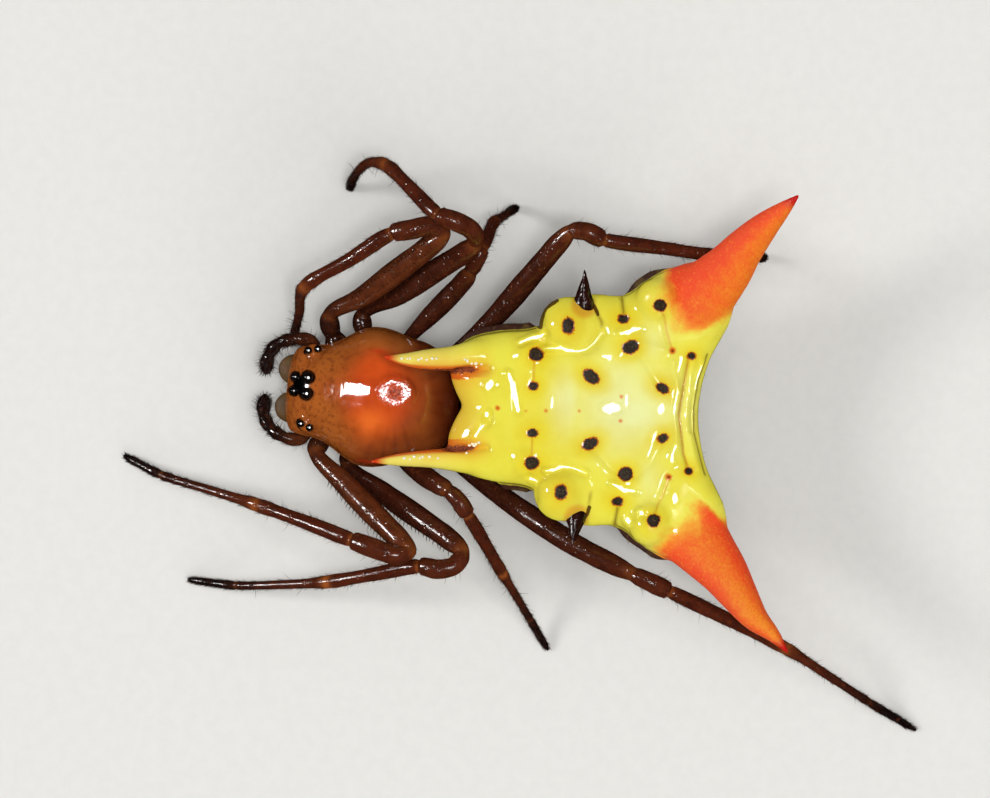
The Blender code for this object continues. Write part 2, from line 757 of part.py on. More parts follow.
def make_abdomen(collection):
    additions = [
        spine(FRONT_SPINE_LEFT, 1),
        spine(FRONT_SPINE_RIGHT, -1),
        spine(REAR_SPINE_LEFT, 1),
        spine(REAR_SPINE_RIGHT, -1),
        spine(SIDE_SPINE_LEFT, 1),
        spine(SIDE_SPINE_RIGHT, -1),
    ]
    for side in (1, -1):
        for along, out, lift, radius, half_height in SIDE_LOBES:
            middle = on_abdomen(along, side * out, shield_height(along) + lift)
            additions.append(ellipsoid(middle, (radius, radius, half_height), 0.0))
    along, up, half_length, half_width, half_height = ABDOMEN_WAIST
    additions.append(
        ellipsoid(on_abdomen(along, 0.0, up), (half_width, half_length, half_height), ABDOMEN_TURN)
    )
    add_node("abdomen", combined(abdomen_body(), additions, "UNION"), "abdomen_skin", collection)


def make_pedicel(collection):
    """The stalk reaches from the carapace's rear face to the abdomen's waist, a gap from each."""
    along, _, half_length, _, _ = ABDOMEN_WAIST
    front = on_prosoma(CARAPACE_REAR - GAP, 0.0, PEDICEL_HEIGHT)
    rear = on_abdomen(along - half_length - GAP / 2, 0.0, PEDICEL_HEIGHT)
    middle = front.lerp(rear, 0.5)
    rows = [(*p, r, r) for p, r in ((front, PEDICEL_RADIUS), (middle, 0.2), (rear, PEDICEL_RADIUS))]
    add_node("pedicel", tube(stations(rows), 14), "underside_skin", collection)


def make_spinnerets(collection):
    roof = shield_height(ABDOMEN_MIDDLE) + ABDOMEN_RINGS[-1][1] - GAP
    middle = on_abdomen(SPINNERET_ALONG, 0.0, roof)
    disc_floor = middle - Vector((0, 0, SPINNERET_DISC_DEPTH))
    disc = cone(disc_floor, middle, SPINNERET_DISC_RADIUS, SPINNERET_DISC_RADIUS, 24)
    cones = []
    for along, left, radius in SPINNERET_CONES:
        top = on_abdomen(along, left, disc_floor.z + SPINNERET_DISC_DEPTH / 2)
        bottom = on_abdomen(along, left * 0.8, disc_floor.z - SPINNERET_LENGTH)
        bottom.xy = top.xy
        cones.append(cone(bottom, top, radius * 0.5, radius, 10))
    add_node("spinnerets", combined(disc, cones, "UNION"), "underside_skin", collection)


# Legs


def leg_radius(stretch, share):
    """Radius of a leg at a share of the way along one stretch."""
    order = [*LEG_STRETCHES, "tip"]
    near = LEG_RADII[stretch]
    far = LEG_RADII[order[order.index(stretch) + 1]]
    radius = near + share * (far - near)
    if stretch == "femur":
        radius += (FEMUR_MIDDLE_RADIUS - radius) * math.sin(math.pi * share)
    return radius


def leg_rows(leg):
    """The leg's points with the radius at each, by stretch, and each stretch's first index."""
    rows = []
    first = {}
    for stretch in LEG_STRETCHES:
        first[stretch] = len(rows)
        points = leg[stretch]
        for i, point in enumerate(points):
            last = stretch == "tarsus"
            share = i / (len(points) - 1) if last else i / len(points)
            radius = leg_radius(stretch, share)
            rows.append((*point, radius, radius))
    return rows, first


def leg_route(rows, first_row, last_row):
    """The smooth route between two rows, shaped by the whole leg."""
    route = []
    for i in range(len(rows) - 1):
        around = [rows[max(i - 1, 0)], rows[i], rows[i + 1], rows[min(i + 2, len(rows) - 1)]]
        if not first_row <= i < last_row:
            continue
        if i == 0:
            piece = smooth_route(rows[i : i + 3], LEG_STEP)
            keep = nearest(piece, rows[i + 1])
            route += piece[:keep]
        elif i == len(rows) - 2:
            piece = smooth_route(rows[i - 1 :], LEG_STEP)
            keep = nearest(piece, rows[i])
            route += piece[keep:-1]
        else:
            piece = smooth_route(around, LEG_STEP)
            start = nearest(piece, rows[i])
            end = nearest(piece, rows[i + 1])
            route += piece[start:end]
    route.append(Vector(rows[last_row]))
    return stations(route)


def nearest(route, row):
    target = Vector(row)
    return min(range(len(route)), key=lambda i: (route[i] - target).length)


def make_leg(name, leg, collection):
    rows, first = leg_rows(leg)
    for node, start, end in LEG_NODES:
        first_row = first[start]
        last_row = first[end] if end else len(rows) - 1
        route = leg_route(rows, first_row, last_row)
        cut_start = LEG_JOINT_CUTS.get(start, 0.0)
        cut_end = LEG_JOINT_CUTS.get(end, 0.0)
        limb = tube(trimmed(route, cut_start, cut_end), LEG_SIDES)
        if end is None:
            cut_at_ground(limb)
        add_node(f"{name}_{node}", limb, "leg_shell", collection)


def main():
    clear_scene()
    animal = new_collection(NAME)
    make_carapace(animal)
    make_eyes(animal)
    make_chelicerae(animal)
    make_underside(animal)
    make_palps(animal)
    make_pedicel(animal)
    make_abdomen(animal)
    make_spinnerets(animal)
    for name, leg in LEGS.items():
        make_leg(name, leg, animal)


main()
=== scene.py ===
"""The looks of the spiny orb weaver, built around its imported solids.

Shapes are worked out in millimetres in the frame's axes, with the head towards -Y and the floor at
Z = 0, and each one is scaled to metres when it is added to the scene. Places on a part of the body
are given on its own plan: first ahead on the front part, or along the abdomen to its tail, and then
to the animal's left. Colours are display colours from 0 to 255.
"""

import math

import bpy
import numpy as np
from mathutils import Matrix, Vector


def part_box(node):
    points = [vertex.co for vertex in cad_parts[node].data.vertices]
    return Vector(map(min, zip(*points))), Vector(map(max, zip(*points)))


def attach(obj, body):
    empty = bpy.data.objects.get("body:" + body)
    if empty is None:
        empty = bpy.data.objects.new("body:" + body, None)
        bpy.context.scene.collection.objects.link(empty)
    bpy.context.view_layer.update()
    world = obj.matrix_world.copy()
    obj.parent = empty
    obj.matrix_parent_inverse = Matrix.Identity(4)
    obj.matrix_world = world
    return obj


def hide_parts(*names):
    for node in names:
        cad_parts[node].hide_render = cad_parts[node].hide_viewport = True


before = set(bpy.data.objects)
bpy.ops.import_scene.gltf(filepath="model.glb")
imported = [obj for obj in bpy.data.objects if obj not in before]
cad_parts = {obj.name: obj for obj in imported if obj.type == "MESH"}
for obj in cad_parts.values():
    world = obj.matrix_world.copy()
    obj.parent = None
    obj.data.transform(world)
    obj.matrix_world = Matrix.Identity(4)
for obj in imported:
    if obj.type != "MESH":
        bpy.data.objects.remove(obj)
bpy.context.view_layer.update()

MM = 0.001
SEED = 20
FAR = 9.0

# Front part of the body: its middle on the ground plan, and the way the head points
PROSOMA_MIDDLE = (-0.98, -2.93)
PROSOMA_YAW = math.radians(6.0)

# Carapace: half width and height of the top at stations from the rear to the front
CARAPACE_FLOOR = 1.42
CARAPACE_RIM_DROP = 0.1
CARAPACE_ROUNDNESS = 2.25
CARAPACE_STATIONS = (
    (-1.68, 0.46, 1.9), (-1.55, 0.7, 2.12), (-1.3, 0.97, 2.39), (-1.0, 1.14, 2.6), (-0.6, 1.24, 2.745),
    (-0.25, 1.35, 2.77), (0.0, 1.38, 2.755), (0.2, 1.36, 2.69), (0.45, 1.25, 2.56), (0.6, 1.155, 2.485),
    (0.8, 1.03, 2.405), (1.0, 0.94, 2.325), (1.3, 0.89, 2.215), (1.52, 0.84, 2.05), (1.64, 0.78, 1.88),
)
CARAPACE_REAR = -1.74
CARAPACE_FACE = 1.56
CARAPACE_FRONT = 1.72
CARAPACE_RINGS = 190
CARAPACE_SIDES = 150
# Pit of the carapace: its middle, and its width as a share of its length
FOVEA = (-0.41, -0.14)
FOVEA_SHARE = 0.78
# Rim of the pit: radius where it is flat, width of its foot, height, and slopes along X and Y
FOVEA_RIM = (0.35, 0.14, 0.02, (-0.022, -0.038))
# Level face ahead of the pit: its middle, half sizes, width of its foot, height, and slopes
CREST_FACE = ((0.33, -0.125), (0.26, 0.14), 0.08, 0.01, (0.072, 0.515))
HEAD_GROOVE = ((-0.20, 0.40), (0.15, 0.62), (0.42, 0.90), (0.55, 1.20))
# Mounds under the side eyes
SIDE_EYE_MOUNDS = ((1.30, 0.66), (1.30, -0.76))
SIDE_EYE_MOUND_RADIUS = 0.18
SIDE_EYE_MOUND_SINK = 0.06
# Black patches round the eyes, with their radius
EYE_PATCHES = (
    (1.34, 0.07, 0.15), (1.34, -0.25, 0.15), (1.59, 0.04, 0.12), (1.59, -0.24, 0.12), (1.47, -0.09, 0.15),
    (1.39, 0.68, 0.07), (1.21, 0.74, 0.06), (1.39, -0.79, 0.07), (1.21, -0.84, 0.06),
)
# Radius of the small level place on top of an eye, which catches the light
GLINT_RADIUS = {"front_middle": 0.016, "front_side": 0.022, "rear_middle": 0.034, "rear_side": 0.022}

# Chelicerae: sections from the fang end up to the face (height, ahead, out, depth, width)
CHELICERA_SECTIONS = (
    (0.5, 1.5, 0.22, 0.08, 0.08), (0.56, 1.52, 0.27, 0.15, 0.14), (0.66, 1.54, 0.31, 0.22, 0.2),
    (0.85, 1.58, 0.36, 0.3, 0.27), (1.1, 1.61, 0.38, 0.34, 0.31), (1.24, 1.62, 0.38, 0.31, 0.29),
    (1.3, 1.6, 0.37, 0.22, 0.2),
)
# Fang: ahead, out, height, radius
FANG = (
    (1.52, 0.27, 0.58, 0.055), (1.46, 0.20, 0.50, 0.045),
    (1.36, 0.10, 0.48, 0.028), (1.24, 0.05, 0.52, 0.006),
)

# Palps: distance ahead, outwards, and height, joint by joint from the mouth to the tip
PALPS = {
    "left": (
        (1.13, 0.5, 0.98), (1.22, 0.78, 1.1), (1.4, 0.99, 1.24), (1.72, 0.98, 1.34), (2.02, 0.8, 1.3),
        (2.16, 0.54, 1.16), (2.17, 0.18, 0.96),
    ),
    "right": (
        (1.13, 0.5, 0.98), (1.22, 0.78, 1.1), (1.4, 0.99, 1.24), (1.74, 0.98, 1.34), (2.04, 0.84, 1.3),
        (2.18, 0.58, 1.16), (2.2, 0.24, 0.96),
    ),
}
# Share of the palp's length and radius there
PALP_SHAPE = (
    (0.0, 0.15), (0.12, 0.165), (0.17, 0.13), (0.3, 0.135), (0.42, 0.125), (0.46, 0.105), (0.55, 0.135),
    (0.6, 0.11), (0.7, 0.135), (0.76, 0.115), (0.88, 0.14), (0.96, 0.1), (1.0, 0.04),
)
PALP_HAIRS = 620

# Sternum: distance ahead and height of its middle, half length, half width, half height
STERNUM = (-0.25, 1.04, 0.72, 0.38, 0.26)
# Jaws and lip: ahead, to the left, height, half sizes, turn
MOUTH = (
    (0.86, 0.21, 0.98, (0.15, 0.24, 0.24), 0.25),
    (0.86, -0.21, 0.98, (0.15, 0.24, 0.24), -0.25),
    (0.72, 0.0, 0.96, (0.13, 0.15, 0.20), 0.0),
)
SPINNERET_RING_RADII = (0.41, 0.37, 0.33)
# Spinnerets of one side: along, out, radius
SPINNERETS = ((1.24, 0.15, 0.15), (1.45, 0.20, 0.11), (1.66, 0.13, 0.14))

# Abdomen: a point of its mid line, and the slight turn of that line from +Y
ABDOMEN_ORIGIN = (-0.76, 0.24)
ABDOMEN_TURN = math.radians(-1.8)
SKIN_VOXEL = 0.028

# Edge of the abdomen's shield, from the front middle round one side to the rear middle
SHIELD_EDGE = (
    (-1.4, 0.0), (-1.45, 0.1), (-1.55, 0.3), (-1.66, 0.62), (-1.62, 1.0), (-1.28, 1.34), (-0.7, 1.5),
    (-0.05, 1.57), (0.22, 1.74), (0.45, 2.06), (0.75, 2.24), (1.15, 2.32), (1.55, 2.3), (1.85, 2.32),
    (2.2, 2.58), (2.7, 2.88), (3.2, 3.02), (3.65, 2.84), (3.95, 2.36), (3.9, 1.86), (3.74, 1.52),
    (3.52, 1.08), (3.38, 0.55), (3.32, 0.0),
)
SHIELD_FRONT_HEIGHT = 2.82
SHIELD_RISE = 0.11
# Rings of the abdomen from the top down: share of the shield's edge, height from that edge
ABDOMEN_RINGS = (
    (0.3, 0.34), (0.6, 0.325), (0.82, 0.27), (0.94, 0.14), (1.0, -0.04), (0.97, -0.24), (0.86, -0.46),
    (0.7, -0.78), (0.52, -1.18), (0.36, -1.62), (0.22, -1.98), (0.17, -2.08),
)
ABDOMEN_CROWN = 0.35
ABDOMEN_MIDDLE = 1.0
SPINNERET_ALONG = 1.45
ABDOMEN_WAIST = (-0.43, 2.00, 0.64, 0.60, 0.50)

# Rounded lobes along each side: along, out, height from the edge, radius, half height
SIDE_LOBES = ((0.67, 1.66, 0.04, 0.59, 0.37), (2.48, 2.16, 0.06, 0.5, 0.42), (-0.1, 1.02, 0.1, 0.4, 0.3))

# Spines as routes of (along, out, height, half width, half height)
SPINES = {
    "front_left": (
        (-0.6, 1.02, 2.82, 0.36, 0.3), (-1.1, 1.06, 2.84, 0.32, 0.28), (-1.6, 1.07, 2.84, 0.24, 0.23),
        (-2.1, 1.08, 2.84, 0.175, 0.17), (-2.65, 1.12, 2.85, 0.12, 0.12), (-3.2, 1.17, 2.84, 0.02, 0.02),
    ),
    "front_right": (
        (-0.6, 1.02, 2.86, 0.36, 0.3), (-1.1, 1.02, 2.9, 0.33, 0.28), (-1.6, 0.94, 2.93, 0.26, 0.24),
        (-2.1, 0.9, 2.95, 0.21, 0.19), (-2.6, 0.89, 2.96, 0.12, 0.12), (-3.0, 0.93, 2.97, 0.02, 0.02),
    ),
    "rear_left": (
        (2.7, 1.9, 3.12, 0.78, 0.36), (3.22, 2.36, 3.24, 0.72, 0.36), (3.59, 2.77, 3.36, 0.6, 0.35),
        (3.92, 3.15, 3.52, 0.5, 0.33), (4.21, 3.56, 3.7, 0.4, 0.29), (4.56, 4.03, 3.92, 0.27, 0.22),
        (4.95, 4.38, 4.12, 0.14, 0.13), (5.25, 4.72, 4.28, 0.015, 0.015),
    ),
    "rear_right": (
        (2.65, 1.8, 3.14, 0.78, 0.36), (3.15, 2.18, 3.26, 0.72, 0.36), (3.5, 2.54, 3.4, 0.62, 0.35),
        (3.82, 2.9, 3.58, 0.52, 0.33), (4.12, 3.31, 3.78, 0.41, 0.29), (4.53, 3.78, 4.04, 0.28, 0.22),
        (4.89, 4.13, 4.26, 0.15, 0.13), (5.18, 4.41, 4.44, 0.015, 0.015),
    ),
}
SIDE_SPINES = {
    "left": (
        (0.95, 1.98, 3.04, 0.28, 0.23), (0.94, 2.16, 3.13, 0.23, 0.2), (0.93, 2.32, 3.19, 0.15, 0.145),
        (0.91, 2.5, 3.25, 0.085, 0.085), (0.89, 2.72, 3.32, 0.008, 0.008),
    ),
    "right": (
        (0.96, 1.88, 3.06, 0.28, 0.23), (0.96, 2.1, 3.17, 0.235, 0.2), (0.96, 2.3, 3.24, 0.15, 0.145),
        (0.97, 2.52, 3.29, 0.085, 0.085), (0.96, 2.79, 3.33, 0.008, 0.008),
    ),
}
# How far from its tip each spine keeps its own round section
SPINE_FREE_LENGTH = {"front": 1.5, "rear": 1.9}
# How far the red of a rear spine reaches from its tip, from the rear edge to the front one
RED_LENGTHS = {
    "rear_left": (
        (-1.2, 2.75), (-0.95, 3.0), (-0.8, 3.42), (-0.6, 3.42), (-0.35, 3.25), (0.0, 3.28), (0.6, 3.42),
        (1.2, 3.38),
    ),
    "rear_right": ((-1.2, 2.72), (-0.9, 2.95), (-0.6, 3.42), (0.0, 3.55), (0.6, 3.42), (1.2, 3.28)),
}

# Dark sunken spots on the back: half length, half width and turn after the place
SIGILLA = (
    (0.67, -1.66, 0.15, 0.11, 80), (0.05, -1.08, 0.14, 0.14, 0), (0.01, -0.44, 0.09, 0.09, 0),
    (1.16, -0.66, 0.17, 0.12, 35), (1.76, -1.84, 0.11, 0.09, 0), (1.92, -1.28, 0.16, 0.13, 150),
    (2.49, -2.12, 0.12, 0.12, 80), (2.59, -0.48, 0.13, 0.09, 30), (3.15, -1.14, 0.08, 0.07, 0),
    (0.63, 1.66, 0.14, 0.11, 100), (0.03, 1.1, 0.14, 0.13, 0), (0.02, 0.5, 0.1, 0.08, 0),
    (1.18, 0.68, 0.16, 0.11, -30), (1.76, 1.81, 0.11, 0.09, 0), (1.9, 1.26, 0.14, 0.14, 0),
    (2.49, 2.16, 0.12, 0.12, 0), (2.62, 0.52, 0.11, 0.09, -30), (3.16, 1.16, 0.08, 0.07, 0),
)
# Small red and orange dots, with their radius
RED_DOTS = (
    (-0.68, 0.02, 0.05), (0.28, 0.05, 0.035), (1.77, -0.28, 0.035), (1.77, 0.2, 0.035), (2.76, -1.23, 0.07),
    (2.76, 1.29, 0.07), (-0.12, 0.06, 0.02), (0.94, 0.03, 0.025),
)
# Grooves in the back: half width, depth, and lines of points
CREASES = {
    "knob_foot": (
        0.15, 0.065,
        (
            (
                (0.22, -1.21), (0.58, -1.19), (0.86, -1.15), (1.18, -1.32), (1.33, -1.54), (1.33, -1.76),
                (1.18, -2.04),
            ),
            ((0.28, 1.25), (0.68, 1.16), (1.1, 1.27), (1.25, 1.48), (1.18, 1.84), (1.1, 2.13)),
        ),
    ),
    "knob_front": (
        0.1, 0.05,
        (((0.22, -1.21), (0.12, -1.48), (0.13, -1.8)), ((0.28, 1.25), (0.12, 1.5), (0.12, 1.84))),
    ),
    "side_slit": (0.045, 0.07, (((1.76, -1.84), (1.72, -2.3)), ((1.76, 1.81), (1.72, 2.28)))),
    "rear_knob": (
        0.07, 0.045,
        (
            ((2.5, -2.0), (2.58, -1.91), (2.62, -1.64), (2.73, -1.31), (2.79, -1.23)),
            ((2.53, 2.0), (2.56, 1.86), (2.67, 1.62), (2.75, 1.36), (2.79, 1.29)),
        ),
    ),
    "rear_fold": (
        0.05, 0.05, (((3.1, -1.1), (3.01, -0.53), (2.93, 0.03), (3.0, 0.47), (3.05, 0.81), (3.16, 1.1)),),
    ),
    "margin_line": (
        0.03, 0.035,
        (((3.47, -1.17), (3.31, -0.67), (3.235, -0.1), (3.25, 0.35), (3.38, 0.8), (3.5, 1.2)),),
    ),
    "row_line": (0.07, 0.008, (((0.02, -1.08), (0.01, -0.44)), ((0.02, 1.1), (0.02, 0.5)))),
    "spot_line": (
        0.08, 0.035,
        (
            ((1.92, -1.28), (2.18, -1.05), (2.46, -0.66), (2.59, -0.48)),
            ((1.9, 1.26), (2.1, 1.3), (2.43, 0.98), (2.62, 0.52)),
            ((1.18, 0.68), (1.33, 0.86), (1.64, 1.17), (1.9, 1.26)),
        ),
    ),
    "front_groove": (
        0.075, 0.13,
        (
            ((-2.2, -0.66), (-1.62, -0.67), (-1.42, -0.7), (-1.16, -0.73), (-0.93, -0.77)),
            ((-2.02, 0.82), (-1.68, 0.83), (-1.37, 0.84), (-1.11, 0.84), (-0.9, 0.81)),
        ),
    ),
}
# Rounded ridges of the back: half width, height, and the line's points
RIDGES = (
    (0.1, 0.04, ((2.15, -1.34), (2.55, -1.25))),
    (0.07, 0.045, ((2.79, -1.0), (2.9, -0.41), (2.83, -0.1), (2.9, 0.5), (2.81, 0.95))),
    (0.06, 0.04, ((3.36, -1.05), (3.19, -0.62), (3.12, -0.1), (3.13, 0.3), (3.24, 0.8), (3.34, 1.1))),
)
# Level bands of the back, which catch the light: half width, and the line's points
LEVEL_BANDS = (
    (0.028, ((-0.28, -1.29), (-0.04, -1.41), (0.23, -1.5))),
    (0.03, ((0.22, -1.21), (0.58, -1.2), (0.86, -1.15), (1.06, -1.21), (1.18, -1.32), (1.33, -1.54))),
    (0.042, ((-0.49, -0.67), (-0.42, -0.47), (-0.34, -0.25), (-0.27, 0.07))),
    (0.03, ((0.0, 1.4), (0.12, 1.46))), (0.075, ((-0.88, -0.41), (-0.84, -0.45))),
    (0.05, ((-0.89, 0.13), (-0.89, 0.29))), (0.025, ((-0.91, 0.35), (-1.14, 0.6))),
    (0.035, ((1.71, -1.54), (1.91, -1.6), (2.11, -1.65))),
    (0.035, ((1.65, 1.47), (1.85, 1.56), (2.11, 1.6))),
    (0.03, ((0.28, 1.25), (0.5, 1.2), (0.68, 1.15), (0.9, 1.18), (1.1, 1.27))),
    (0.075, ((1.47, -0.04), (1.69, -0.05))), (0.05, ((2.56, -0.06), (2.58, -0.05))),
    (0.014, ((1.87, -0.3), (1.88, -0.1))), (0.012, ((0.39, -0.21), (0.4, -0.01))),
    (0.014, ((1.94, -1.12), (1.98, -1.13))), (0.01, ((1.76, -1.14), (1.73, -1.1))),
    (0.014, ((1.92, 1.44), (1.99, 1.43))), (0.01, ((2.53, -0.56), (2.54, -0.55))),
    (0.01, ((2.41, -2.02), (2.42, -2.01))), (0.012, ((2.49, -1.98), (2.5, -1.97))),
    (0.02, ((2.9, 2.35), (2.91, 2.36))), (0.05, ((1.97, 2.16), (2.02, 2.2))),
    (0.035, ((2.22, 2.0), (2.27, 2.06))), (0.04, ((2.89, 1.68), (2.91, 1.74))),
    (0.025, ((2.93, -0.99), (2.88, -0.81))), (0.028, ((2.89, -0.41), (2.85, -0.17), (2.84, -0.01))),
    (0.028, ((2.9, 0.67), (2.81, 0.85), (2.83, 0.99))),
    (0.03, ((3.33, -0.95), (3.26, -0.72), (3.23, -0.46))),
    (0.022, ((3.21, -0.3), (3.19, 0.04), (3.21, 0.34))),
)
# Soft foot round a level band, and its slopes along X and Y
BAND_FOOT = 0.10
BAND_SLOPES = (-0.022, -0.038)
# Glossy spot of the matte red zone
WET_SPOT = (2.90, 2.35)
# Swellings of the back: half length, half width and height after the place
SWELLINGS = (
    (0.64, -1.66, 0.46, 0.42, 0.09), (0.62, 1.66, 0.46, 0.42, 0.09), (2.36, -2.4, 0.42, 0.32, 0.08),
    (2.36, 2.46, 0.42, 0.32, 0.08), (-0.62, 0.0, 0.4, 0.6, 0.04), (1.3, -1.1, 0.2, 0.18, 0.04),
    (1.28, 1.08, 0.18, 0.18, 0.04), (3.2, -1.86, 0.45, 0.4, 0.06),
)
# Brown strips on the margin: half width and the line's points
STAINS = (
    (0.05, ((0.1, -1.62), (0.13, -1.8), (0.24, -2.0), (0.44, -2.14))),
    (0.045, ((1.06, -2.26), (1.2, -2.04), (1.25, -1.92))), (0.045, ((1.04, 2.3), (1.16, 2.1), (1.2, 1.96))),
)
# Bulges of the side below the edge, seen from above: reach, side, first and last place, ramp
SIDE_BULGES = (
    (0.20, -1, -1.55, 0.06, 0.15), (0.18, -1, 1.71, 2.75, 0.45),
    (0.16, 1, -0.62, 0.10, 0.15), (0.16, 1, 1.58, 2.95, 0.45),
)
# Rows of small grains on the back, painted pale as highlights: first and last place, number, radius
GRAIN_ROWS = (
    ((-1.37, -0.86), (-1.04, -0.76), 7, 0.034), ((-1.27, 0.86), (-1.05, 0.78), 6, 0.036),
    ((-2.66, -0.93), (-1.97, -0.92), 8, 0.03), ((-2.53, 1.05), (-1.91, 0.99), 7, 0.03),
)

# Legs: centre line of each from the body to the foot, in stretches of coxa, femur, patella, tibia,
# metatarsus and tarsus
LEG_NODES = ("coxa", "femur", "tibia", "tarsus")
LEGS = {
    "leg_right_1": (
        ((-1.5, -3.38, 1.14), (-2.06, -3.68, 1.16)),
        ((-2.62, -3.8, 1.45), (-2.98, -3.16, 1.85), (-3.54, -2.4, 2.45), (-4.0, -1.8, 2.95)),
        ((-4.26, -1.54, 3.2), (-4.4, -1.76, 3.3), (-4.32, -2.16, 3.35)),
        ((-4.24, -2.56, 3.25), (-3.72, -3.4, 2.98)), ((-3.2, -4.28, 2.6), (-2.66, -4.42, 1.45)),
        ((-2.26, -4.52, 0.55), (-1.98, -4.6, -0.12)),
    ),
    "leg_right_2": (
        ((-1.6, -2.94, 1.12), (-2.16, -3.1, 1.14)),
        ((-2.64, -3.14, 1.2), (-3.04, -2.4, 1.85), (-3.56, -1.6, 2.55), (-3.86, -1.12, 3.0)),
        ((-4.06, -0.88, 3.35), (-4.3, -0.96, 3.62), (-4.48, -1.28, 3.78)),
        ((-4.62, -1.64, 3.72), (-5.12, -2.16, 3.24)),
        ((-5.6, -2.66, 2.7), (-5.67, -2.98, 2.3), (-5.52, -3.22, 1.6)),
        ((-5.32, -3.36, 0.85), (-5.14, -3.42, -0.12)),
    ),
    "leg_right_3": (
        ((-1.56, -2.46, 1.12), (-1.92, -2.36, 1.14)),
        ((-2.16, -2.22, 1.2), (-2.8, -1.6, 1.72), (-3.26, -1.16, 2.12)),
        ((-3.5, -0.98, 2.34), (-3.74, -0.86, 2.46)), ((-3.96, -0.76, 2.46), (-4.26, -0.62, 2.0)),
        ((-4.48, -0.52, 1.5), (-4.6, -0.34, 1.0)), ((-4.7, -0.2, 0.55), (-4.8, -0.04, -0.12)),
    ),
    "leg_right_4": (
        ((-1.32, -2.04, 1.12), (-1.6, -1.68, 1.14)),
        ((-1.82, -1.36, 1.2), (-2.48, -0.6, 1.68), (-3.5, 0.3, 2.42), (-4.08, 0.8, 2.82)),
        ((-4.28, 1.02, 2.98), (-4.28, 1.32, 3.06)), ((-4.12, 1.68, 3.0), (-3.96, 2.8, 2.75)),
        ((-3.8, 3.92, 2.36), (-3.78, 4.48, 1.2)), ((-3.78, 4.76, 0.55), (-3.78, 4.98, -0.12)),
    ),
    "leg_left_1": (
        ((-0.62, -3.48, 1.14), (-0.16, -3.92, 1.2)),
        ((0.12, -4.08, 1.42), (0.76, -3.5, 1.78), (1.48, -2.8, 2.25), (1.88, -2.4, 2.5)),
        ((2.1, -2.22, 2.62), (2.18, -2.48, 2.68), (2.04, -2.92, 2.62)),
        ((1.88, -3.36, 2.45), (1.52, -4.3, 2.0)), ((1.18, -5.26, 1.45), (0.86, -6.3, 0.85)),
        ((0.58, -7.2, 0.42), (0.18, -7.98, 0.03)),
    ),
    "leg_left_2": (
        ((-0.46, -3.06, 1.12), (-0.02, -3.22, 1.08)),
        ((0.34, -3.46, 0.96), (0.96, -2.7, 1.4), (1.52, -1.9, 1.95), (1.86, -1.42, 2.25)),
        ((2.12, -1.16, 2.42), (2.38, -1.3, 2.5), (2.46, -1.64, 2.48)),
        ((2.4, -2.0, 2.35), (2.56, -2.9, 1.85)), ((2.72, -3.84, 1.35), (2.78, -4.8, 0.85)),
        ((2.8, -5.7, 0.42), (2.68, -6.7, 0.03)),
    ),
    "leg_left_3": (
        ((-0.38, -2.58, 1.12), (-0.06, -2.5, 1.14)),
        ((0.24, -2.38, 1.2), (0.52, -2.02, 1.7), (0.76, -1.66, 2.25)),
        ((0.9, -1.42, 2.48), (1.1, -1.22, 2.58)), ((1.38, -1.04, 2.52), (1.98, -0.68, 2.05)),
        ((2.54, -0.36, 1.55), (3.04, -0.06, 1.0)), ((3.48, 0.2, 0.5), (4.12, 0.58, 0.03)),
    ),
    "leg_left_4": (
        ((-0.52, -2.12, 1.12), (-0.14, -1.74, 1.12)),
        ((0.2, -1.42, 1.15), (0.84, -0.6, 1.45), (1.92, 1.0, 2.15), (2.36, 1.84, 2.45)),
        ((2.56, 2.26, 2.58), (2.72, 2.6, 2.62)), ((2.9, 2.98, 2.5), (3.44, 4.1, 2.1)),
        ((4.04, 5.3, 1.6), (4.62, 6.2, 1.05)), ((5.14, 7.0, 0.5), (5.73, 7.98, 0.03)),
    ),
}
# Place on a leg, counted in stretches from the body, and radius there
LEG_SHAPE = (
    (0.0, 0.2), (0.25, 0.235), (0.55, 0.215), (0.65, 0.165), (0.72, 0.19), (0.85, 0.2), (0.95, 0.18),
    (1.0, 0.155), (1.08, 0.165), (1.3, 0.215), (1.5, 0.24), (1.75, 0.228), (1.94, 0.2), (2.0, 0.155),
    (2.08, 0.175), (2.4, 0.195), (2.65, 0.205), (2.88, 0.19), (2.97, 0.17), (3.0, 0.13), (3.03, 0.146),
    (3.08, 0.154), (3.22, 0.158), (3.5, 0.143), (3.8, 0.136), (3.94, 0.148), (4.0, 0.136), (4.06, 0.138),
    (4.16, 0.112), (4.5, 0.092), (4.9, 0.088), (4.97, 0.092), (5.0, 0.076), (5.06, 0.084), (5.5, 0.078),
    (5.85, 0.068), (5.96, 0.052), (6.0, 0.03),
)
LEG_THICKNESS = {"1": 1.0, "2": 0.97, "3": 0.86, "4": 0.95}
LEG_SIDES = 28
LEG_STEP = 0.04
# Place on a leg and colour there
LEG_COLORS = (
    (0.0, (52, 25, 16)), (0.9, (48, 22, 14)), (1.2, (66, 29, 18)), (1.7, (70, 31, 18)),
    (2.1, (86, 38, 21)), (2.8, (84, 37, 20)), (3.2, (80, 33, 18)), (3.8, (88, 37, 19)),
    (4.2, (94, 42, 22)), (4.7, (70, 31, 18)), (5.0, (44, 20, 13)), (5.3, (26, 13, 10)), (6.0, (18, 10, 8)),
)
# Pale joints: place, half width, amount
LEG_JOINTS = ((1.0, 0.03, 0.3), (2.0, 0.04, 0.45), (3.0, 0.02, 0.9), (4.0, 0.045, 1.0), (5.0, 0.03, 0.3))
# Legs whose undersides are painted lighter and warmer as light shining through them, with their pale joints
# painted brighter for it too
LIT_THROUGH_LEGS = ("leg_left_1", "leg_left_2", "leg_left_3")
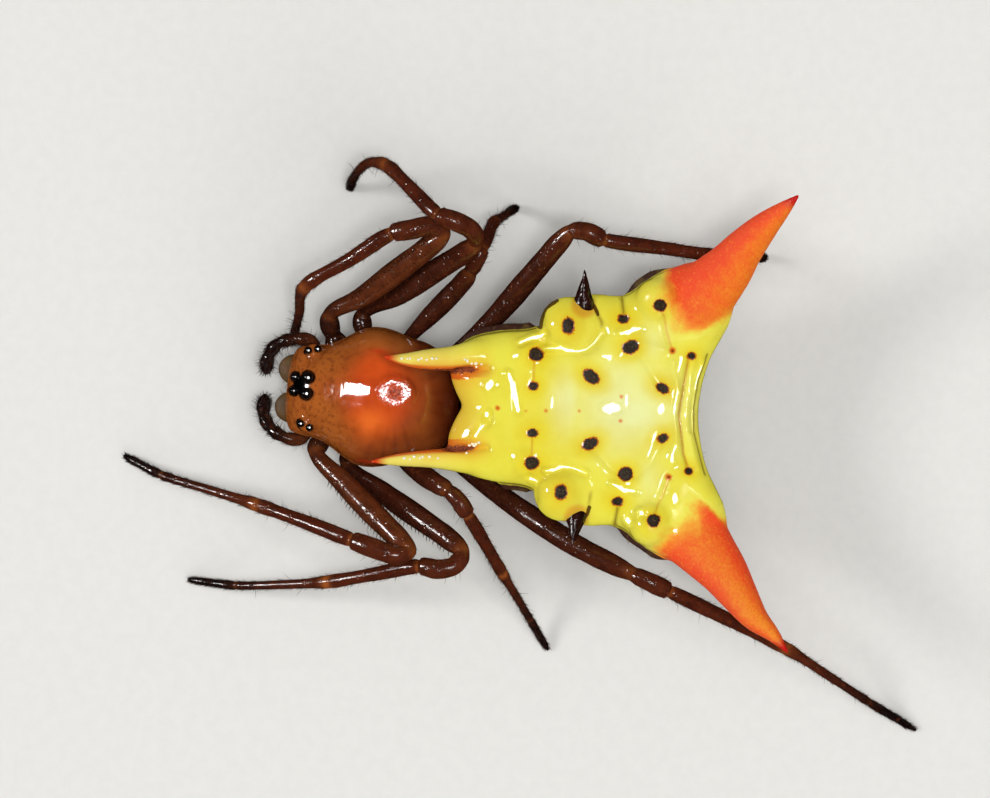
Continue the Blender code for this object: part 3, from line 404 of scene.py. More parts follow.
# Bristles: number, first and last place, least and greatest length, width, lean towards the foot
LEG_BRISTLES = (
    (150, 1.1, 2.0, (0.04, 0.09), 0.0035, 0.80), (100, 2.0, 3.0, (0.05, 0.10), 0.0035, 0.75),
    (300, 3.0, 4.0, (0.06, 0.12), 0.004, 0.75), (22, 2.1, 4.9, (0.16, 0.24), 0.005, 0.35),
    (460, 4.0, 5.0, (0.05, 0.09), 0.0045, 0.78), (480, 5.0, 5.95, (0.04, 0.08), 0.0045, 0.80),
)
# Two rows of strong spines on the front femora: number in each, shift of each round the leg
FEMUR_SPINES = 24
FEMUR_SPINE_SHIFTS = (0.0, -0.9)

# Lights: tilt from straight above, direction, distance, size, brightness on a white floor, and
# what they leave out
LIGHTS = (
    ("key_light", 5.0, 150.0, 0.40, (0.05, 0.05), 0.20, None),
    ("key_glow", 5.0, 150.0, 0.40, (0.25, 0.25), 0.36, "glossy"),
    ("head_light", 48.0, -8.0, 0.40, (0.10, 0.10), 0.22, "glossy"),
    ("fill_light", 55.0, 130.0, 0.45, (0.30, 0.30), 0.14, "glossy"),
    ("head_glint", 55.0, -8.0, 0.40, (0.05, 0.06), 0.30, "diffuse"),
)
FLOOR_HALF_SIZE = 1.5
CAMERA_DISTANCE = 0.5
CAMERA_TARGET = (-0.94, -0.50, 2.0)
SHOWN_WIDTH = 19.8


# Numbers


def smoothstep(value, start, end):
    share = np.clip((value - start) / (end - start), 0.0, 1.0)
    return share * share * (3.0 - 2.0 * share)


def bell(value, width=1.0):
    return np.exp(-((value / width) ** 2))


def blob(plan, middle, sizes):
    """A bell round a place on the plan, as wide as its sizes along the plan's two axes."""
    return bell(np.hypot(*((plan - middle) / sizes).T))


def outside(plan, discs):
    """Distance outside the nearest disc, of a place and a radius, and at most 1."""
    return np.min([np.ones(len(plan)), *(np.hypot(*(plan - disc[:2]).T) - disc[2] for disc in discs)], axis=0)


def unit(vectors):
    return vectors / np.maximum(np.linalg.norm(vectors, axis=-1, keepdims=True), 1e-9)


def color(red, green, blue):
    """A display colour as linear light."""
    share = np.array((red, green, blue), float) / 255.0
    return np.where(share <= 0.04045, share / 12.92, ((share + 0.055) / 1.055) ** 2.4)


def painted(ground, *coats):
    """Linear colours with coats over them, each a display colour and its share at each point."""
    for paint, share in coats:
        ground = ground + (color(*paint) - ground) * np.asarray(share)[..., None]
    return ground


def value_noise(points, size, seed):
    """Smooth noise from -1 to 1 with grains of that size in millimetres."""
    place = points / size + seed * 7.31
    cell = np.floor(place).astype(np.int64)
    share = place - cell
    share = share * share * (3.0 - 2.0 * share)
    total = np.zeros(len(points))
    for corner in np.ndindex(2, 2, 2):
        at = cell + np.array(corner)
        mixed = at[:, 0] * 73856093 ^ at[:, 1] * 19349663 ^ at[:, 2] * 83492791 ^ seed * 2654435761
        mixed = (mixed ^ (mixed >> 13)) * 1274126177 & 0x7FFFFFFF
        weight = np.prod(np.where(corner, share, 1.0 - share), axis=1)
        total += weight * (mixed / 0x3FFFFFFF - 1.0)
    return total


def spline(value, table):
    """A smooth curve through the table's pairs, read at each value."""
    places, heights = np.array(table, float).T
    slopes = np.gradient(heights, places)
    index = np.clip(np.searchsorted(places, value) - 1, 0, len(places) - 2)
    width = places[index + 1] - places[index]
    share = np.clip((value - places[index]) / width, 0.0, 1.0)
    rest = 1.0 - share
    near = heights[index] * (1 + 2 * share) * rest**2 + slopes[index] * width * share * rest**2
    far = heights[index + 1] * share**2 * (3 - 2 * share) - slopes[index + 1] * width * share**2 * rest
    return near + far


def smooth_route(rows, step):
    """Points about a step apart on the curve through rows, and each one's place in the list."""
    rows = np.array(rows, float)
    rows = np.vstack([2 * rows[0] - rows[1], rows, 2 * rows[-1] - rows[-2]])
    stretches = np.linalg.norm(np.diff(rows[:, :3], axis=0), axis=1)
    knots = np.concatenate([[0.0], np.cumsum(np.sqrt(np.maximum(stretches, 1e-6)))])
    route, places = [], []
    for i in range(1, len(rows) - 2):
        p0, p1, p2, p3 = rows[i - 1 : i + 3]
        t0, t1, t2, t3 = knots[i - 1 : i + 3]
        count = max(1, round(stretches[i] / step))
        share = np.arange(count) / count
        t = (t1 + (t2 - t1) * share)[:, None]
        a1 = p0 + (p1 - p0) * (t - t0) / (t1 - t0)
        a2 = p1 + (p2 - p1) * (t - t1) / (t2 - t1)
        a3 = p2 + (p3 - p2) * (t - t2) / (t3 - t2)
        b1 = a1 + (a2 - a1) * (t - t0) / (t2 - t0)
        b2 = a2 + (a3 - a2) * (t - t1) / (t3 - t1)
        route.append(b1 + (b2 - b1) * (t - t1) / (t2 - t1))
        places.append(i - 1 + share)
    return np.vstack([*route, rows[-2:-1]]), np.concatenate([*places, [len(rows) - 3.0]])


def arc_lengths(route):
    steps = np.linalg.norm(np.diff(route[:, :3], axis=0), axis=1)
    return np.concatenate([[0.0], np.cumsum(steps)])


def interpolated(at, places, table):
    """The table's columns, whose rows are at those places, read at other places."""
    return np.stack([np.interp(at, places, column) for column in table.T], axis=-1)


def line_distance(plan, line):
    """Distance of each place on the plan from a line of points."""
    nearest = np.full(len(plan), 1e9)
    for start, end in zip(np.array(line[:-1], float), np.array(line[1:], float)):
        way = end - start
        share = np.clip(((plan - start) @ way) / (way @ way), 0.0, 1.0)
        nearest = np.minimum(nearest, np.linalg.norm(plan - start - share[:, None] * way, axis=1))
    return nearest


class Plan:
    """A part's axes on the ground plan: its first one, and one to the animal's left."""

    def __init__(self, middle, turn, forward):
        cos, sin = math.cos(turn), math.sin(turn)
        self.middle = middle
        self.axes = ((-sin, forward * cos), (cos, forward * sin))

    def at(self, first, left, up):
        """The points at those places and heights, in the frame."""
        first, left, up = np.broadcast_arrays(first, left, up)
        ground = [
            middle + left * to_left + first * to_first
            for middle, to_first, to_left in zip(self.middle, *self.axes)
        ]
        return np.stack([*ground, up], axis=-1)

    def read(self, points):
        """The points' places on the plan."""
        x, y = points[..., 0] - self.middle[0], points[..., 1] - self.middle[1]
        return np.stack([x * to_x + y * to_y for to_x, to_y in self.axes], axis=-1)


PROSOMA = Plan(PROSOMA_MIDDLE, PROSOMA_YAW, -1)
ABDOMEN = Plan(ABDOMEN_ORIGIN, ABDOMEN_TURN, 1)


def shield_height(along):
    return SHIELD_FRONT_HEIGHT + SHIELD_RISE * (along - SHIELD_EDGE[0][0])


def box_of(node):
    """Lowest corner, highest corner and middle of a CAD node's box."""
    low, high = (np.array(corner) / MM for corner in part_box(node))
    return low, high, (low + high) / 2


# Surfaces


class Surface:
    """Points in millimetres, arrays of faces with three or four corners, and fields of the points."""

    def __init__(self, points, faces, **fields):
        self.points = np.asarray(points, float)
        self.faces = [np.asarray(block) for block in faces]
        self.fields = fields

    def triangles(self):
        second_halves = [block[:, [0, 2, 3]] for block in self.faces if block.shape[1] == 4]
        return np.vstack([*(block[:, :3] for block in self.faces), *second_halves])

    def outward(self):
        """The same closed surface with its faces turned outwards."""
        a, b, c = (self.points[column] for column in self.triangles().T)
        if np.einsum("ij,ij->", a, np.cross(b, c)) < 0:
            self.faces = [block[:, ::-1] for block in self.faces]
        return self

    def normals(self):
        triangles = self.triangles()
        a, b, c = (self.points[column] for column in triangles.T)
        across = np.cross(b - a, c - a)
        total = np.zeros_like(self.points)
        for column in triangles.T:
            for axis in range(3):
                total[:, axis] += np.bincount(column, across[:, axis], len(self.points))
        return unit(total)

    def relaxed(self, rounds, amount):
        """Moves each point towards the middle of its neighbours."""
        ends = [np.stack([block, np.roll(block, -1, axis=1)], -1).reshape(-1, 2) for block in self.faces]
        here, there = np.vstack([*ends, *(pairs[:, ::-1] for pairs in ends)]).T
        count = np.bincount(here, minlength=len(self.points))[:, None]
        for _ in range(rounds):
            total = [np.bincount(here, column[there], len(self.points)) for column in self.points.T]
            self.points += (np.stack(total, axis=-1) / count - self.points) * amount

    def roughen(self, amount, size, seed):
        """Noise of that depth and grain size along the normals."""
        self.points += self.normals() * (amount * value_noise(self.points, size, seed))[:, None]

    def level(self, middle, slopes, weight):
        """Draws the points' heights towards a sloping plane through the middle."""
        plane = middle[2] + (self.points[:, :2] - middle[:2]) @ slopes
        self.points[:, 2] += (plane - self.points[:, 2]) * weight

    def mesh(self, name, scale):
        data = bpy.data.meshes.new(name)
        faces = [face for block in self.faces for face in block.tolist()]
        data.from_pydata((self.points * scale).tolist(), [], faces)
        return data


def merged(surfaces):
    starts = np.cumsum([0, *(len(s.points) for s in surfaces)])
    faces = [block + start for s, start in zip(surfaces, starts) for block in s.faces]
    fields = {name: np.concatenate([s.fields[name] for s in surfaces]) for name in surfaces[0].fields}
    return Surface(np.vstack([s.points for s in surfaces]), faces, **fields)


def loft(rings, first_pole=None, last_pole=None):
    """A closed surface through rings of points, drawn together to a pole at each end."""
    count, sides = rings.shape[:2]
    here = np.arange(count * sides).reshape(count, sides)
    beyond = np.roll(here, -1, axis=1)
    quads = np.stack([here[:-1], beyond[:-1], beyond[1:], here[1:]], axis=-1).reshape(-1, 4)
    first = np.stack([beyond[0], here[0], np.full(sides, count * sides)], axis=-1)
    last = np.stack([here[-1], beyond[-1], np.full(sides, count * sides + 1)], axis=-1)
    first_pole = rings[0].mean(axis=0) if first_pole is None else first_pole
    last_pole = rings[-1].mean(axis=0) if last_pole is None else last_pole
    points = np.vstack([rings.reshape(-1, 3), first_pole, last_pole])
    return Surface(points, [quads, np.vstack([first, last])]).outward()


def frames_along(route):
    """Unit vectors along the route, to its side and above it, turned as little as possible."""
    ahead = unit(np.gradient(route[:, :3], axis=0))
    side = np.cross(ahead[0], (0.0, 0.0, 1.0))
    if np.linalg.norm(side) < 0.2:
        side = np.cross(ahead[0], (0.0, 1.0, 0.0))
    sides = []
    for way in ahead:
        side = side - way * (side @ way)
        side = side / np.linalg.norm(side)
        sides.append(side)
    sides = np.array(sides)
    return ahead, sides, np.cross(sides, ahead)


def tube(route, half_width, half_height, sides):
    """A closed tube of oval rings along a route."""
    _, across, above = frames_along(route)
    angles = 2 * math.pi * np.arange(sides) / sides
    wide = np.cos(angles)[None, :, None] * np.asarray(half_width)[:, None, None]
    high = np.sin(angles)[None, :, None] * np.asarray(half_height)[:, None, None]
    return loft(route[:, None, :3] + across[:, None] * wide + above[:, None] * high)


def ball(middle, sizes, turn=0.0, segments=40, rings=24):
    """A closed ellipsoid, its half sizes along the axes of a frame turned about Z."""
    down = (math.pi * (np.arange(1, rings)) / rings)[:, None]
    around = 2 * math.pi * np.arange(segments) / segments
    ring = np.broadcast_arrays(np.sin(down) * np.cos(around), np.sin(down) * np.sin(around), np.cos(down))
    cos, sin = math.cos(turn), math.sin(turn)
    spin = np.array(((cos, -sin, 0.0), (sin, cos, 0.0), (0.0, 0.0, 1.0)))

    def placed(points):
        return np.asarray(middle) + (points * np.asarray(sizes)) @ spin.T

    poles = (placed(np.array((0.0, 0.0, height))) for height in (1.0, -1.0))
    return loft(placed(np.stack(ring, axis=-1)), *poles)


def bristles(roots, ways, lean, lengths, width, places):
    """Thin closed spikes of three sides that start along ways and bend towards lean.

    places holds where each root is on the skin's unwrap, from 0 to 1 each way, and each spike gets
    a patch of the unwrap there.
    """
    heights = np.array((0.0, 0.35, 0.7))
    lengths = lengths[:, None]
    across = unit(np.cross(ways, (0.31, 0.53, 0.79)))
    above = np.cross(ways, across)
    corners = []
    for height in heights:
        middle = roots + ways * lengths * height + lean * lengths * height**2
        for k in range(3):
            angle = 2 * math.pi * k / 3
            offset = across * math.cos(angle) + above * math.sin(angle)
            corners.append(middle + offset * width * (1.0 - 0.75 * height))
    corners.append(roots + ways * lengths + lean * lengths)
    points = np.stack(corners, axis=1)
    points[:, :, 2] = np.maximum(points[:, :, 2], 0.001)
    sides = [(ring + k, ring + (k + 1) % 3) for ring in (0, 3, 6) for k in range(3)]
    quads = np.array([(near, far, far + 3, near + 3) for near, far in sides[:6]])
    triangles = np.array([(2, 1, 0), *((near, far, 9) for near, far in sides[6:])])
    start = np.arange(len(roots))[:, None, None] * points.shape[1]
    patch = 0.003
    columns = [*np.tile((0.0, 0.5, 1.0), len(heights)), 0.5]
    spots = np.stack([columns, [*np.repeat(heights, 3), 1.0]], axis=-1) - 0.5
    unwrap = np.asarray(places)[:, None, :] * (1 - patch) + patch / 2 + spots[None] * patch
    faces = [(quads + start).reshape(-1, 4), (triangles + start).reshape(-1, 3)]
    return Surface(points.reshape(-1, 3), faces, unwrap=unwrap.reshape(-1, 2))


def linked(name, data):
    """A new object of the scene."""
    obj = bpy.data.objects.new(name, data)
    bpy.context.scene.collection.objects.link(obj)
    return obj


def add_piece(name, surface, material, nodes=()):
    """Adds the object of a surface, which rides on the body and may stand for CAD nodes."""
    data = surface.mesh(name, MM)
    data.update()
    data.shade_smooth()
    for key, values in surface.fields.items():
        if key == "unwrap":
            corners = np.empty(len(data.loops), np.int32)
            data.loops.foreach_get("vertex_index", corners)
            layer = data.uv_layers.new(name="OFBake")
            layer.uv.foreach_set("vector", values[corners].astype(np.float32).ravel())
        elif values.ndim == 2:
            layer = data.attributes.new(key, "FLOAT_COLOR", "POINT")
            full = np.concatenate([np.clip(values, 0.0, 1.0), np.ones((len(values), 1))], axis=1)
            layer.data.foreach_set("color", full.astype(np.float32).ravel())
        else:
            layer = data.attributes.new(key, "FLOAT", "POINT")
            layer.data.foreach_set("value", values.astype(np.float32))
    data.materials.append(material)
    obj = linked(name, data)
    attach(obj, "root")
    if nodes:
        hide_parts(*nodes)


# Materials


class Shader:
    """A Principled material, with its colour and roughness so far. Grains are per millimetre."""

    def __init__(self, name, **uniform):
        self.material = bpy.data.materials.new(name)
        self.material.use_nodes = True
        self.tree = self.material.node_tree
        self.surface = self.tree.nodes["Principled BSDF"]
        self.place = self.tree.nodes.new("ShaderNodeTexCoord").outputs["Object"]
        for key, value in uniform.items():
            self.surface.inputs[key].default_value = value

    def put(self, value, socket):
        if isinstance(value, bpy.types.NodeSocket):
            self.tree.links.new(value, socket)
        elif socket.type == "RGBA":
            socket.default_value = (*color(*value), 1.0)
        else:
            socket.default_value = value

    def node(self, kind, inputs, **settings):
        node = self.tree.nodes.new(f"ShaderNode{kind}")
        for key, value in settings.items():
            setattr(node, key, value)
        for key, value in inputs.items():
            self.put(value, node.inputs[key])
        return node

    def field(self, name, output="Fac"):
        return self.node("Attribute", {}, attribute_name=name).outputs[output]

    def noise(self, grains, detail=2.0, roughness=0.5, stretch=None):
        place = self.place
        if stretch:
            place = self.node("Mapping", {"Vector": place, "Scale": stretch}).outputs["Vector"]
        inputs = {"Vector": place, "Scale": grains / MM, "Detail": detail, "Roughness": roughness}
        return self.node("TexNoise", inputs).outputs["Fac"]

    def cells(self, grains):
        return self.node("TexVoronoi", {"Vector": self.place, "Scale": grains / MM}).outputs["Distance"]

    def math(self, operation, first, second):
        return self.node("Math", {0: first, 1: second}, operation=operation).outputs["Value"]

    def times(self, first, second):
        return self.math("MULTIPLY", first, second)

    def span(self, value, start, end, high=1.0, low=0.0):
        """The value's smooth way from low at start to high at end."""
        inputs = {"Value": value, "From Min": start, "From Max": end, "To Min": low, "To Max": high}
        return self.node("MapRange", inputs, interpolation_type="SMOOTHSTEP").outputs["Result"]

    def mix(self, amount, ground, paint, blend="MIX"):
        node = self.node("Mix", {}, data_type="RGBA", blend_type=blend)
        for index, value in ((0, amount), (6, ground), (7, paint)):
            self.put(value, node.inputs[index])
        return node.outputs[2]

    def coat(self, amount, paint, blend="MIX"):
        self.base = self.mix(amount, self.base, paint, blend)

    def warped(self, value, *layers):
        """The value with noise added: each layer is a grain and an amount in millimetres."""
        for grains, amount in layers:
            shift = self.times(self.math("SUBTRACT", self.noise(grains), 0.5), amount)
            value = self.math("ADD", value, shift)
        return value

    def gloss(self, grains, low, spread):
        """Starts the roughness, from low to that much more."""
        self.rough = self.span(self.noise(grains), 0.3, 0.7, low + spread, low)

    def roughen(self, share, amount):
        self.rough = self.math("ADD", self.rough, self.times(share, amount))

    def finish(self, *bumps):
        """The material, with bumps of a height from 0 to 1 and its real height in millimetres."""
        for height, depth in bumps:
            node = self.node("Bump", {"Height": height, "Strength": 1.0, "Distance": depth * MM})
            below = self.surface.inputs["Normal"].links
            if below:
                self.put(below[0].from_socket, node.inputs["Normal"])
            self.put(node.outputs["Normal"], self.surface.inputs["Normal"])
        self.put(self.base, self.surface.inputs["Base Color"])
        self.put(self.rough, self.surface.inputs["Roughness"])
        return self.material


def abdomen_material():
    shade = Shader("abdomen_cuticle", IOR=1.5)
    shade.base = shade.field("tint", "Color")
    shade.coat(shade.span(shade.noise(1.6, 3.0), 0.35, 0.7, 0.22), (230, 204, 60), "MULTIPLY")

    red = shade.warped(shade.field("tip"), (2.2, 0.45), (8.0, 0.25), (26.0, 0.10))
    matte = shade.times(shade.span(red, 0.60, 0.15), shade.span(shade.field("gloss"), 0.5, 0.1))
    shade.coat(shade.span(red, 0.30, -0.05), (240, 160, 34))
    red = shade.span(red, 0.10, -0.25)
    redness = shade.warped(shade.field("redness"), (5.0, 0.7), (16.0, 0.7))
    spine = shade.mix(shade.span(redness, -0.5, 1.0), (240, 142, 12), (240, 66, 8))
    grain = shade.noise(20.0, 3.0)
    spine = shade.mix(shade.span(grain, 0.55, 0.72, 0.45), spine, (250, 150, 34))
    spine = shade.mix(shade.span(grain, 0.48, 0.34, 0.45), spine, (238, 72, 8))
    shade.coat(red, spine)
    point = shade.span(shade.warped(shade.field("point"), (8.0, 0.1)), 0.42, 0.12)
    shade.coat(point, (196, 20, 18))

    dot = shade.warped(shade.field("dot"), (14.0, 0.03))
    shade.coat(shade.span(dot, 0.03, -0.03, 0.85), (222, 84, 20))
    shade.coat(shade.span(dot, -0.025, -0.05, 0.85), (104, 48, 10))

    spot = shade.warped(shade.field("sigil"), (8.0, 0.06), (26.0, 0.05))
    shade.coat(shade.span(spot, 0.09, 0.01, 0.4), (226, 182, 16))
    shade.coat(shade.span(spot, 0.022, 0.006, 0.9), (184, 74, 14))
    shade.coat(shade.span(spot, 0.004, -0.012), (38, 24, 12))
    speck = shade.noise(30.0, 3.0, 0.7)
    inside = shade.span(spot, -0.02, -0.06)
    shade.coat(shade.times(inside, shade.span(speck, 0.46, 0.66, 0.8)), (96, 80, 52))

    stain = shade.warped(shade.field("stain"), (6.0, 0.5), (20.0, 0.5))
    shade.coat(shade.span(stain, 0.35, 0.75, 0.92), (70, 34, 15))

    groove = shade.warped(shade.field("groove"), (7.0, 0.07), (24.0, 0.09))
    shade.coat(shade.span(groove, 0.13, 0.05, 0.6), (224, 116, 30))
    # The dark core of each front groove is partly its own dark brown and partly painted shade in its depth
    groove = shade.span(groove, 0.065, 0.03)
    shade.coat(groove, shade.mix(shade.span(speck, 0.45, 0.6), (156, 66, 18), (72, 28, 12)))

    flank = shade.field("flank")
    mottle = shade.noise(2.4, 3.0, 0.6, (1.0, 1.0, 0.45))
    side = shade.mix(shade.span(mottle, 0.50, 0.60), (60, 30, 17), (168, 150, 44))
    side = shade.mix(shade.times(shade.field("strip"), 0.85), side, (66, 32, 17))
    side = shade.mix(shade.span(shade.noise(9.0), 0.4, 0.75, 0.4), side, (28, 14, 10))
    shade.coat(shade.span(shade.warped(flank, (6.0, 0.5)), 0.35, 0.65), side)

    shade.gloss(10.0, 0.07, 0.04)
    shade.roughen(matte, 0.60)
    shade.roughen(point, -0.58)
    shade.roughen(flank, 0.50)
    shade.roughen(shade.span(spot, 0.01, -0.02), 0.50)
    shade.roughen(groove, 0.50)
    return shade.finish(
        (shade.noise(3.2, 2.0), 0.004),
        (shade.times(grain, shade.math("ADD", red, 0.02)), 0.022),
        (shade.times(shade.noise(14.0, 3.0), flank), 0.02),
        (shade.times(speck, shade.math("ADD", inside, groove)), 0.03),
    )


def carapace_material():
    shade = Shader("carapace_cuticle", IOR=1.7)
    shade.base = shade.field("tint", "Color")
    head = shade.field("head")
    net = shade.times(shade.span(shade.noise(11.0, 4.0, 0.6), 0.50, 0.62), head)
    shade.coat(shade.times(net, 0.6), (118, 58, 24))
    shade.coat(shade.span(shade.noise(3.0, 3.0), 0.4, 0.75, 0.25), (150, 70, 34), "MULTIPLY")
    patch = shade.span(shade.warped(shade.field("patch"), (12.0, 0.05)), 0.02, -0.02)
    shade.coat(patch, (5, 4, 4))
    pit = shade.field("pit")
    grain = shade.noise(30.0, 3.0, 0.7)
    shade.coat(shade.times(pit, shade.span(grain, 0.45, 0.6)), (96, 30, 14))
    bare = shade.times(head, shade.math("SUBTRACT", 1.0, patch))
    granules = shade.span(shade.noise(26.0, 2.0), 0.48, 0.68)
    shade.gloss(12.0, 0.09, 0.04)
    shade.roughen(pit, 0.12)
    return shade.finish(
        (shade.noise(24.0, 3.0), 0.0012),
        (shade.times(shade.cells(9.0), bare), 0.004),
        (shade.times(grain, pit), 0.012),
        (shade.times(granules, shade.field("rim")), 0.004),
    )


def shell_material(name, low, depth):
    """Brown cuticle whose colour is its own field, pitted to that depth."""
    shade = Shader(name, IOR=1.6)
    shade.base = shade.field("tint", "Color")
    shade.coat(shade.span(shade.noise(4.0, 3.0), 0.35, 0.7, 0.4), (96, 44, 26), "MULTIPLY")
    shade.coat(shade.span(shade.noise(9.0, 3.0), 0.55, 0.75, 0.3), (128, 62, 32))
    shade.gloss(8.0, low, 0.08)
    pits = shade.span(shade.cells(9.0), 0.0, 0.35)
    return shade.finish((pits, depth), (shade.noise(26.0, 2.0), depth * 0.4))


def plain_material(name, one, other, grains, low, depth=0.004):
    """A material of two near colours, for small parts."""
    shade = Shader(name, IOR=1.5)
    shade.base = shade.mix(shade.span(shade.noise(grains, 3.0), 0.35, 0.65), one, other)
    shade.gloss(grains * 2.0, low, 0.08)
    return shade.finish((shade.noise(grains * 3.0), depth))


def floor_material():
    shade = Shader("pale_floor")
    shade.base = shade.mix(shade.span(shade.noise(4.0, 4.0, 0.6), 0.3, 0.7), (227, 225, 220), (230, 228, 223))
    shade.rough = 0.9
    return shade.finish()


# Front part of the body


def carapace_profile(ahead):
    """Half width and top height of the carapace, rounded off at both ends."""
    rows = np.array(CARAPACE_STATIONS)
    wide, top = spline(ahead, rows[:, [0, 1]]), spline(ahead, rows[:, [0, 2]])
    rear_start = CARAPACE_STATIONS[0][0] + 0.1
    rear = np.clip((rear_start - ahead) / (rear_start - CARAPACE_REAR), 0, 1)
    front = np.clip((ahead - CARAPACE_FACE) / (CARAPACE_FRONT - CARAPACE_FACE), 0, 1)
    close = np.sqrt(np.clip(1.0 - np.maximum(rear, front) ** 2, 0.0, 1.0))
    end_height = CARAPACE_FLOOR + 0.06
    return wide * (0.25 + 0.75 * close), end_height + (top - end_height) * (0.12 + 0.88 * close)


def bare_carapace():
    """The smooth dome, before its relief."""
    middle, half = (CARAPACE_REAR + CARAPACE_FRONT) / 2, (CARAPACE_FRONT - CARAPACE_REAR) / 2
    ahead = middle - half * np.cos(np.linspace(0.0, math.pi, CARAPACE_RINGS))[1:-1, None]
    wide, top = carapace_profile(ahead)
    angles = 2 * math.pi * np.arange(CARAPACE_SIDES) / CARAPACE_SIDES
    cos, sin = np.cos(angles), np.sin(angles)
    power = 2.0 / CARAPACE_ROUNDNESS
    left = np.sign(cos) * np.abs(cos) ** power * wide
    dome = CARAPACE_FLOOR + np.abs(sin) ** power * (top - CARAPACE_FLOOR)
    up = np.where(sin >= 0, dome, CARAPACE_FLOOR - np.abs(sin) * CARAPACE_RIM_DROP)
    ends = [PROSOMA.at(end, 0.0, CARAPACE_FLOOR + 0.02) for end in (CARAPACE_REAR, CARAPACE_FRONT)]
    return loft(PROSOMA.at(ahead, left, up), *ends)


def make_carapace():
    shell = bare_carapace()
    plan = PROSOMA.read(shell.points)
    ahead, left = plan.T
    normals = shell.normals()
    on_top = smoothstep(normals[:, 2], 0.1, 0.5)

    def top_nearest(distance):
        return shell.points[np.where(on_top > 0.5, distance, FAR).argmin()]

    fovea = np.hypot(ahead - FOVEA[0], (left - FOVEA[1]) / FOVEA_SHARE)
    fovea += 0.025 * value_noise(shell.points, 0.09, SEED + 9)
    relief = -0.04 * bell(fovea, 0.10)
    for side in (1, -1):
        relief -= 0.022 * bell(line_distance(plan * (1, side), HEAD_GROOVE), 0.17)
    relief += 0.04 * blob(plan, (1.36, -0.09), (0.2, 0.32))
    spoke = np.arctan2(left, ahead - FOVEA[0])
    outer = smoothstep(fovea, 0.55, 0.9) * smoothstep(ahead, 0.55, 0.1)
    relief += 0.003 * np.sin(spoke * 18 + 2.0 * np.sin(spoke * 3)) * outer
    relief += 0.004 * value_noise(shell.points, 0.45, SEED)
    margin = smoothstep(shell.points[:, 2], CARAPACE_FLOOR + 0.16, CARAPACE_FLOOR + 0.02)

    flat, foot, height, slopes = FOVEA_RIM
    weight = smoothstep(fovea, flat + foot, flat) * on_top
    shell.level(top_nearest(fovea) + (0, 0, height), slopes, weight)
    relief *= 1.0 - weight * smoothstep(fovea, 0.11, 0.17)
    middle, half_sizes, foot, height, slopes = CREST_FACE
    beyond = (np.abs(plan - middle) - half_sizes).max(axis=1)
    beyond += 0.02 * value_noise(shell.points, 0.06, SEED + 10)
    weight = smoothstep(beyond, foot, 0.0) * on_top
    shell.level(top_nearest(np.hypot(*(plan - middle).T)) + (0, 0, height), slopes, weight)
    relief *= 1.0 - weight
    shell.points += normals * (relief * on_top + 0.025 * margin)[:, None]
    for mound_ahead, mound_left in SIDE_EYE_MOUNDS:
        wide, top = carapace_profile(np.array([mound_ahead]))
        arch = (1.0 - (abs(mound_left) / wide[0]) ** CARAPACE_ROUNDNESS) ** (1.0 / CARAPACE_ROUNDNESS)
        height = CARAPACE_FLOOR + (top[0] - CARAPACE_FLOOR) * arch - SIDE_EYE_MOUND_SINK
        swell(shell, PROSOMA.at(mound_ahead, mound_left, height), SIDE_EYE_MOUND_RADIUS, 0.035)

    head = smoothstep(ahead + 0.30 * np.abs(left + 0.08), 0.30, 1.05)
    streaks = smoothstep(np.sin(spoke * 18 + 2.5 * np.sin(spoke * 4) + 1.0), 0.0, 1.0)
    middle_line = bell(left + 0.09, 0.25) * smoothstep(ahead, 0.3, 0.6) * smoothstep(ahead, 1.3, 0.8)
    tint = painted(
        color(146, 70, 30),
        ((112, 50, 24), 0.45 * streaks * outer),
        # Painted light: the right side is lightened against the shade on its steep slope
        ((196, 112, 46), 0.7 * smoothstep(left, -0.75, -1.05) * smoothstep(ahead, -0.9, -0.4)),
        ((200, 72, 26), 0.95 * smoothstep(blob(plan, (0.02, -0.05), 0.85), 0.10, 0.75)),
        ((152, 78, 30), 0.8 * blob(plan, (-1.15, 0.62), 0.35)),
        ((224, 88, 30), 0.75 * blob(plan, (0.05, -0.62), (0.36, 0.30))),
        ((242, 116, 42), 0.75 * blob(plan, (0.02, 0.52), (0.36, 0.30))),
        ((104, 40, 14), 0.9 * smoothstep(ahead + 0.15 * np.abs(left), -0.95, -1.5)),
        ((172, 92, 35), head),
        ((184, 84, 36), 0.6 * middle_line),
        ((176, 104, 48), 0.7 * margin * smoothstep(ahead, -0.9, 0.2)),
        ((206, 52, 22), 0.7 * blob(plan, (-0.02, -0.92), (0.16, 0.04))),
        ((206, 52, 22), 0.7 * blob(plan, (0.05, 1.30), (0.16, 0.04))),
    )
    shell.fields = {
        "tint": tint,
        "head": head,
        "patch": outside(plan, EYE_PATCHES),
        "pit": smoothstep(fovea, 0.17, 0.10),
        "rim": smoothstep(fovea, 0.10, 0.16) * smoothstep(fovea, 0.44, 0.36),
    }
    add_piece("carapace_shell", shell, carapace_material(), ["carapace"])


def swell(surface, middle, radius, fillet):
    """Pushes the surface out round a ball, with a soft foot."""
    offset = surface.points - middle
    away = np.linalg.norm(offset, axis=1)
    near = away < radius * 2.0
    inside = (radius - away[near]) / fillet
    risen = away[near] + fillet * np.log1p(np.exp(np.clip(inside, -30.0, 30.0)))
    surface.points[near] = middle + offset[near] * (risen / np.maximum(away[near], 1e-6))[:, None]


